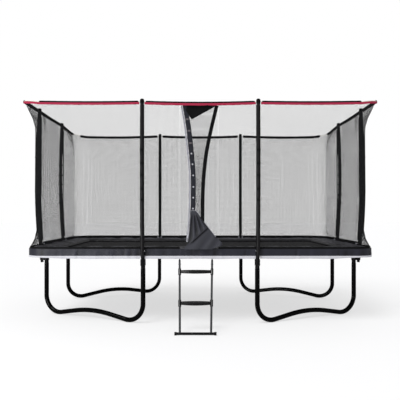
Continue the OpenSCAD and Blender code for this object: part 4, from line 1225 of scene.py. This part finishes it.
# painted shade in the apron's folds: between the fan's ridges, along the main crease and in the waves below
# it
low_fold = 0.5 + 0.5 * np.sin(s * 46 - zz * 30)
mark_painted_fold_shade(apron, np.maximum((0.85 - 1.1 * ridges) * upper * smooth(0.02, 0.2, down),
                               1.0 * np.exp(-((d - 0.004) / 0.010) ** 2) * smooth(-0.14, -0.07, s))
             + 0.35 * low_fold * smooth(0.02, 0.06, d))

# pale piping along the apron's top and its right edge
parts = Parts()
for radius, line in ((0.0026, [(-0.049, 1.399), (-0.028, 1.372), (0.005, 1.330)]),
                     (0.0026, [(0.047, 1.267), (0.090, 1.211), (0.140, 1.145), (0.188, 1.082)]),
                     (0.0020, [(-0.117, 1.397), (-0.085, 1.399), (-0.051, 1.398)])):
    x, z = np.array(line).T
    parts.add(*tubes(at("front", x, 0.0985, z), radius, 6, (0, -1, 0)))
parts.build("apron_piping", "grey_tape")

# plain pale marks down the left strip
MARK_HEIGHTS = (2.09195, 1.96268, 1.82732, 1.68707, 1.55659, 1.42366)
MARK_R = 0.0100
parts = Parts()
turn = np.linspace(0, 2 * math.pi, 13)[:-1]
for zc in MARK_HEIGHTS:
    x = float(curve_x(zc, 1)) + 0.030
    disc = at("front", x + MARK_R * np.cos(turn), 0.0972, zc + MARK_R * np.sin(turn))
    parts.add(np.array([disc, disc + np.array([0, -0.0012, 0])]), tube_faces(1, 2, 12))
parts.build("strip_marks", "grey_tape", crease=50)

# ---- stage ----

FLOOR_GLOW = 0.62              # with the light that falls on it the floor comes to plain white
AS_LIGHT, IN_GLOSS = 0.78, 0.27    # the world's strength as a light and in reflections
floor_mesh = bpy.data.meshes.new("floor")
floor_mesh.from_pydata([(-60, -60, 0), (60, -60, 0), (60, 60, 0), (-60, 60, 0)], [], [(0, 1, 2, 3)])
floor = bpy.data.objects.new("floor", floor_mesh)
scene.collection.objects.link(floor)
m = Mat("floor", srgb(149, 149, 150), 0.8, mottle=(0.6, 0.01), speck=(30, 0.01), spec=0.02)
m.bsdf.inputs["Emission Color"].default_value = (1, 1, 1, 1)
seen = m.math("SUBTRACT", 1.0, m.new("ShaderNodeLightPath").outputs["Is Glossy Ray"])
m.link(m.math("MULTIPLY", seen, FLOOR_GLOW), m.bsdf.inputs["Emission Strength"])
floor_mesh.materials.append(m.done())

# plain white to the camera, a little darker as a light, and darker still in reflections
world = bpy.data.worlds.new("studio")
scene.world = world
world.use_nodes = True
wn, wl = world.node_tree.nodes, world.node_tree.links
ray = wn.new("ShaderNodeLightPath")


def world_mix(factor, off, on):
    n = wn.new("ShaderNodeMix")
    for value, socket in ((factor, n.inputs[0]), (off, n.inputs[2]), (on, n.inputs[3])):
        if hasattr(value, "links"):
            wl.new(value, socket)
        else:
            socket.default_value = value
    return n.outputs[0]


glow = world_mix(ray.outputs["Is Glossy Ray"], AS_LIGHT, IN_GLOSS)
glow = world_mix(ray.outputs["Is Camera Ray"], glow, 1.0)
# rays that have passed between the cords of the net still see plain white
wl.new(glow, wn["Background"].inputs[1])
wn["Background"].inputs[0].default_value = (1, 1, 1, 1)


def lamp(name, kind, place, aim, energy, size):
    data = bpy.data.lights.new(name, kind)
    if kind == "SUN":
        data.angle = size
    else:
        data.shape = "RECTANGLE"
        data.size, data.size_y = size
    data.energy = energy
    obj = bpy.data.objects.new(name, data)
    obj.location = place
    obj.rotation_euler = (Vector(aim) - Vector(place)).to_track_quat("-Z", "Y").to_euler()
    scene.collection.objects.link(obj)


lamp("sky_panel", "SUN", (-3.0, -3.5, 7.0), (0, 0, 0.9), 1.9, math.radians(28))
lamp("left_card", "AREA", (-4.6, -5.4, 1.2), (0, -0.9, 0.8), 150, (1.2, 2.0))

camera_data = bpy.data.cameras.new("camera")
camera_data.sensor_width = 36
camera_data.lens = 477 / 400 * 36
camera_data.shift_x = -0.0005
camera_data.shift_y = 0.0325
camera_data.clip_end = 200
camera = bpy.data.objects.new("camera", camera_data)
camera.location = (0, YC - 7.089, 1.37)
camera.rotation_euler = (math.pi / 2, 0, 0)
scene.collection.objects.link(camera)
scene.camera = camera
scene.view_settings.view_transform = "Standard"
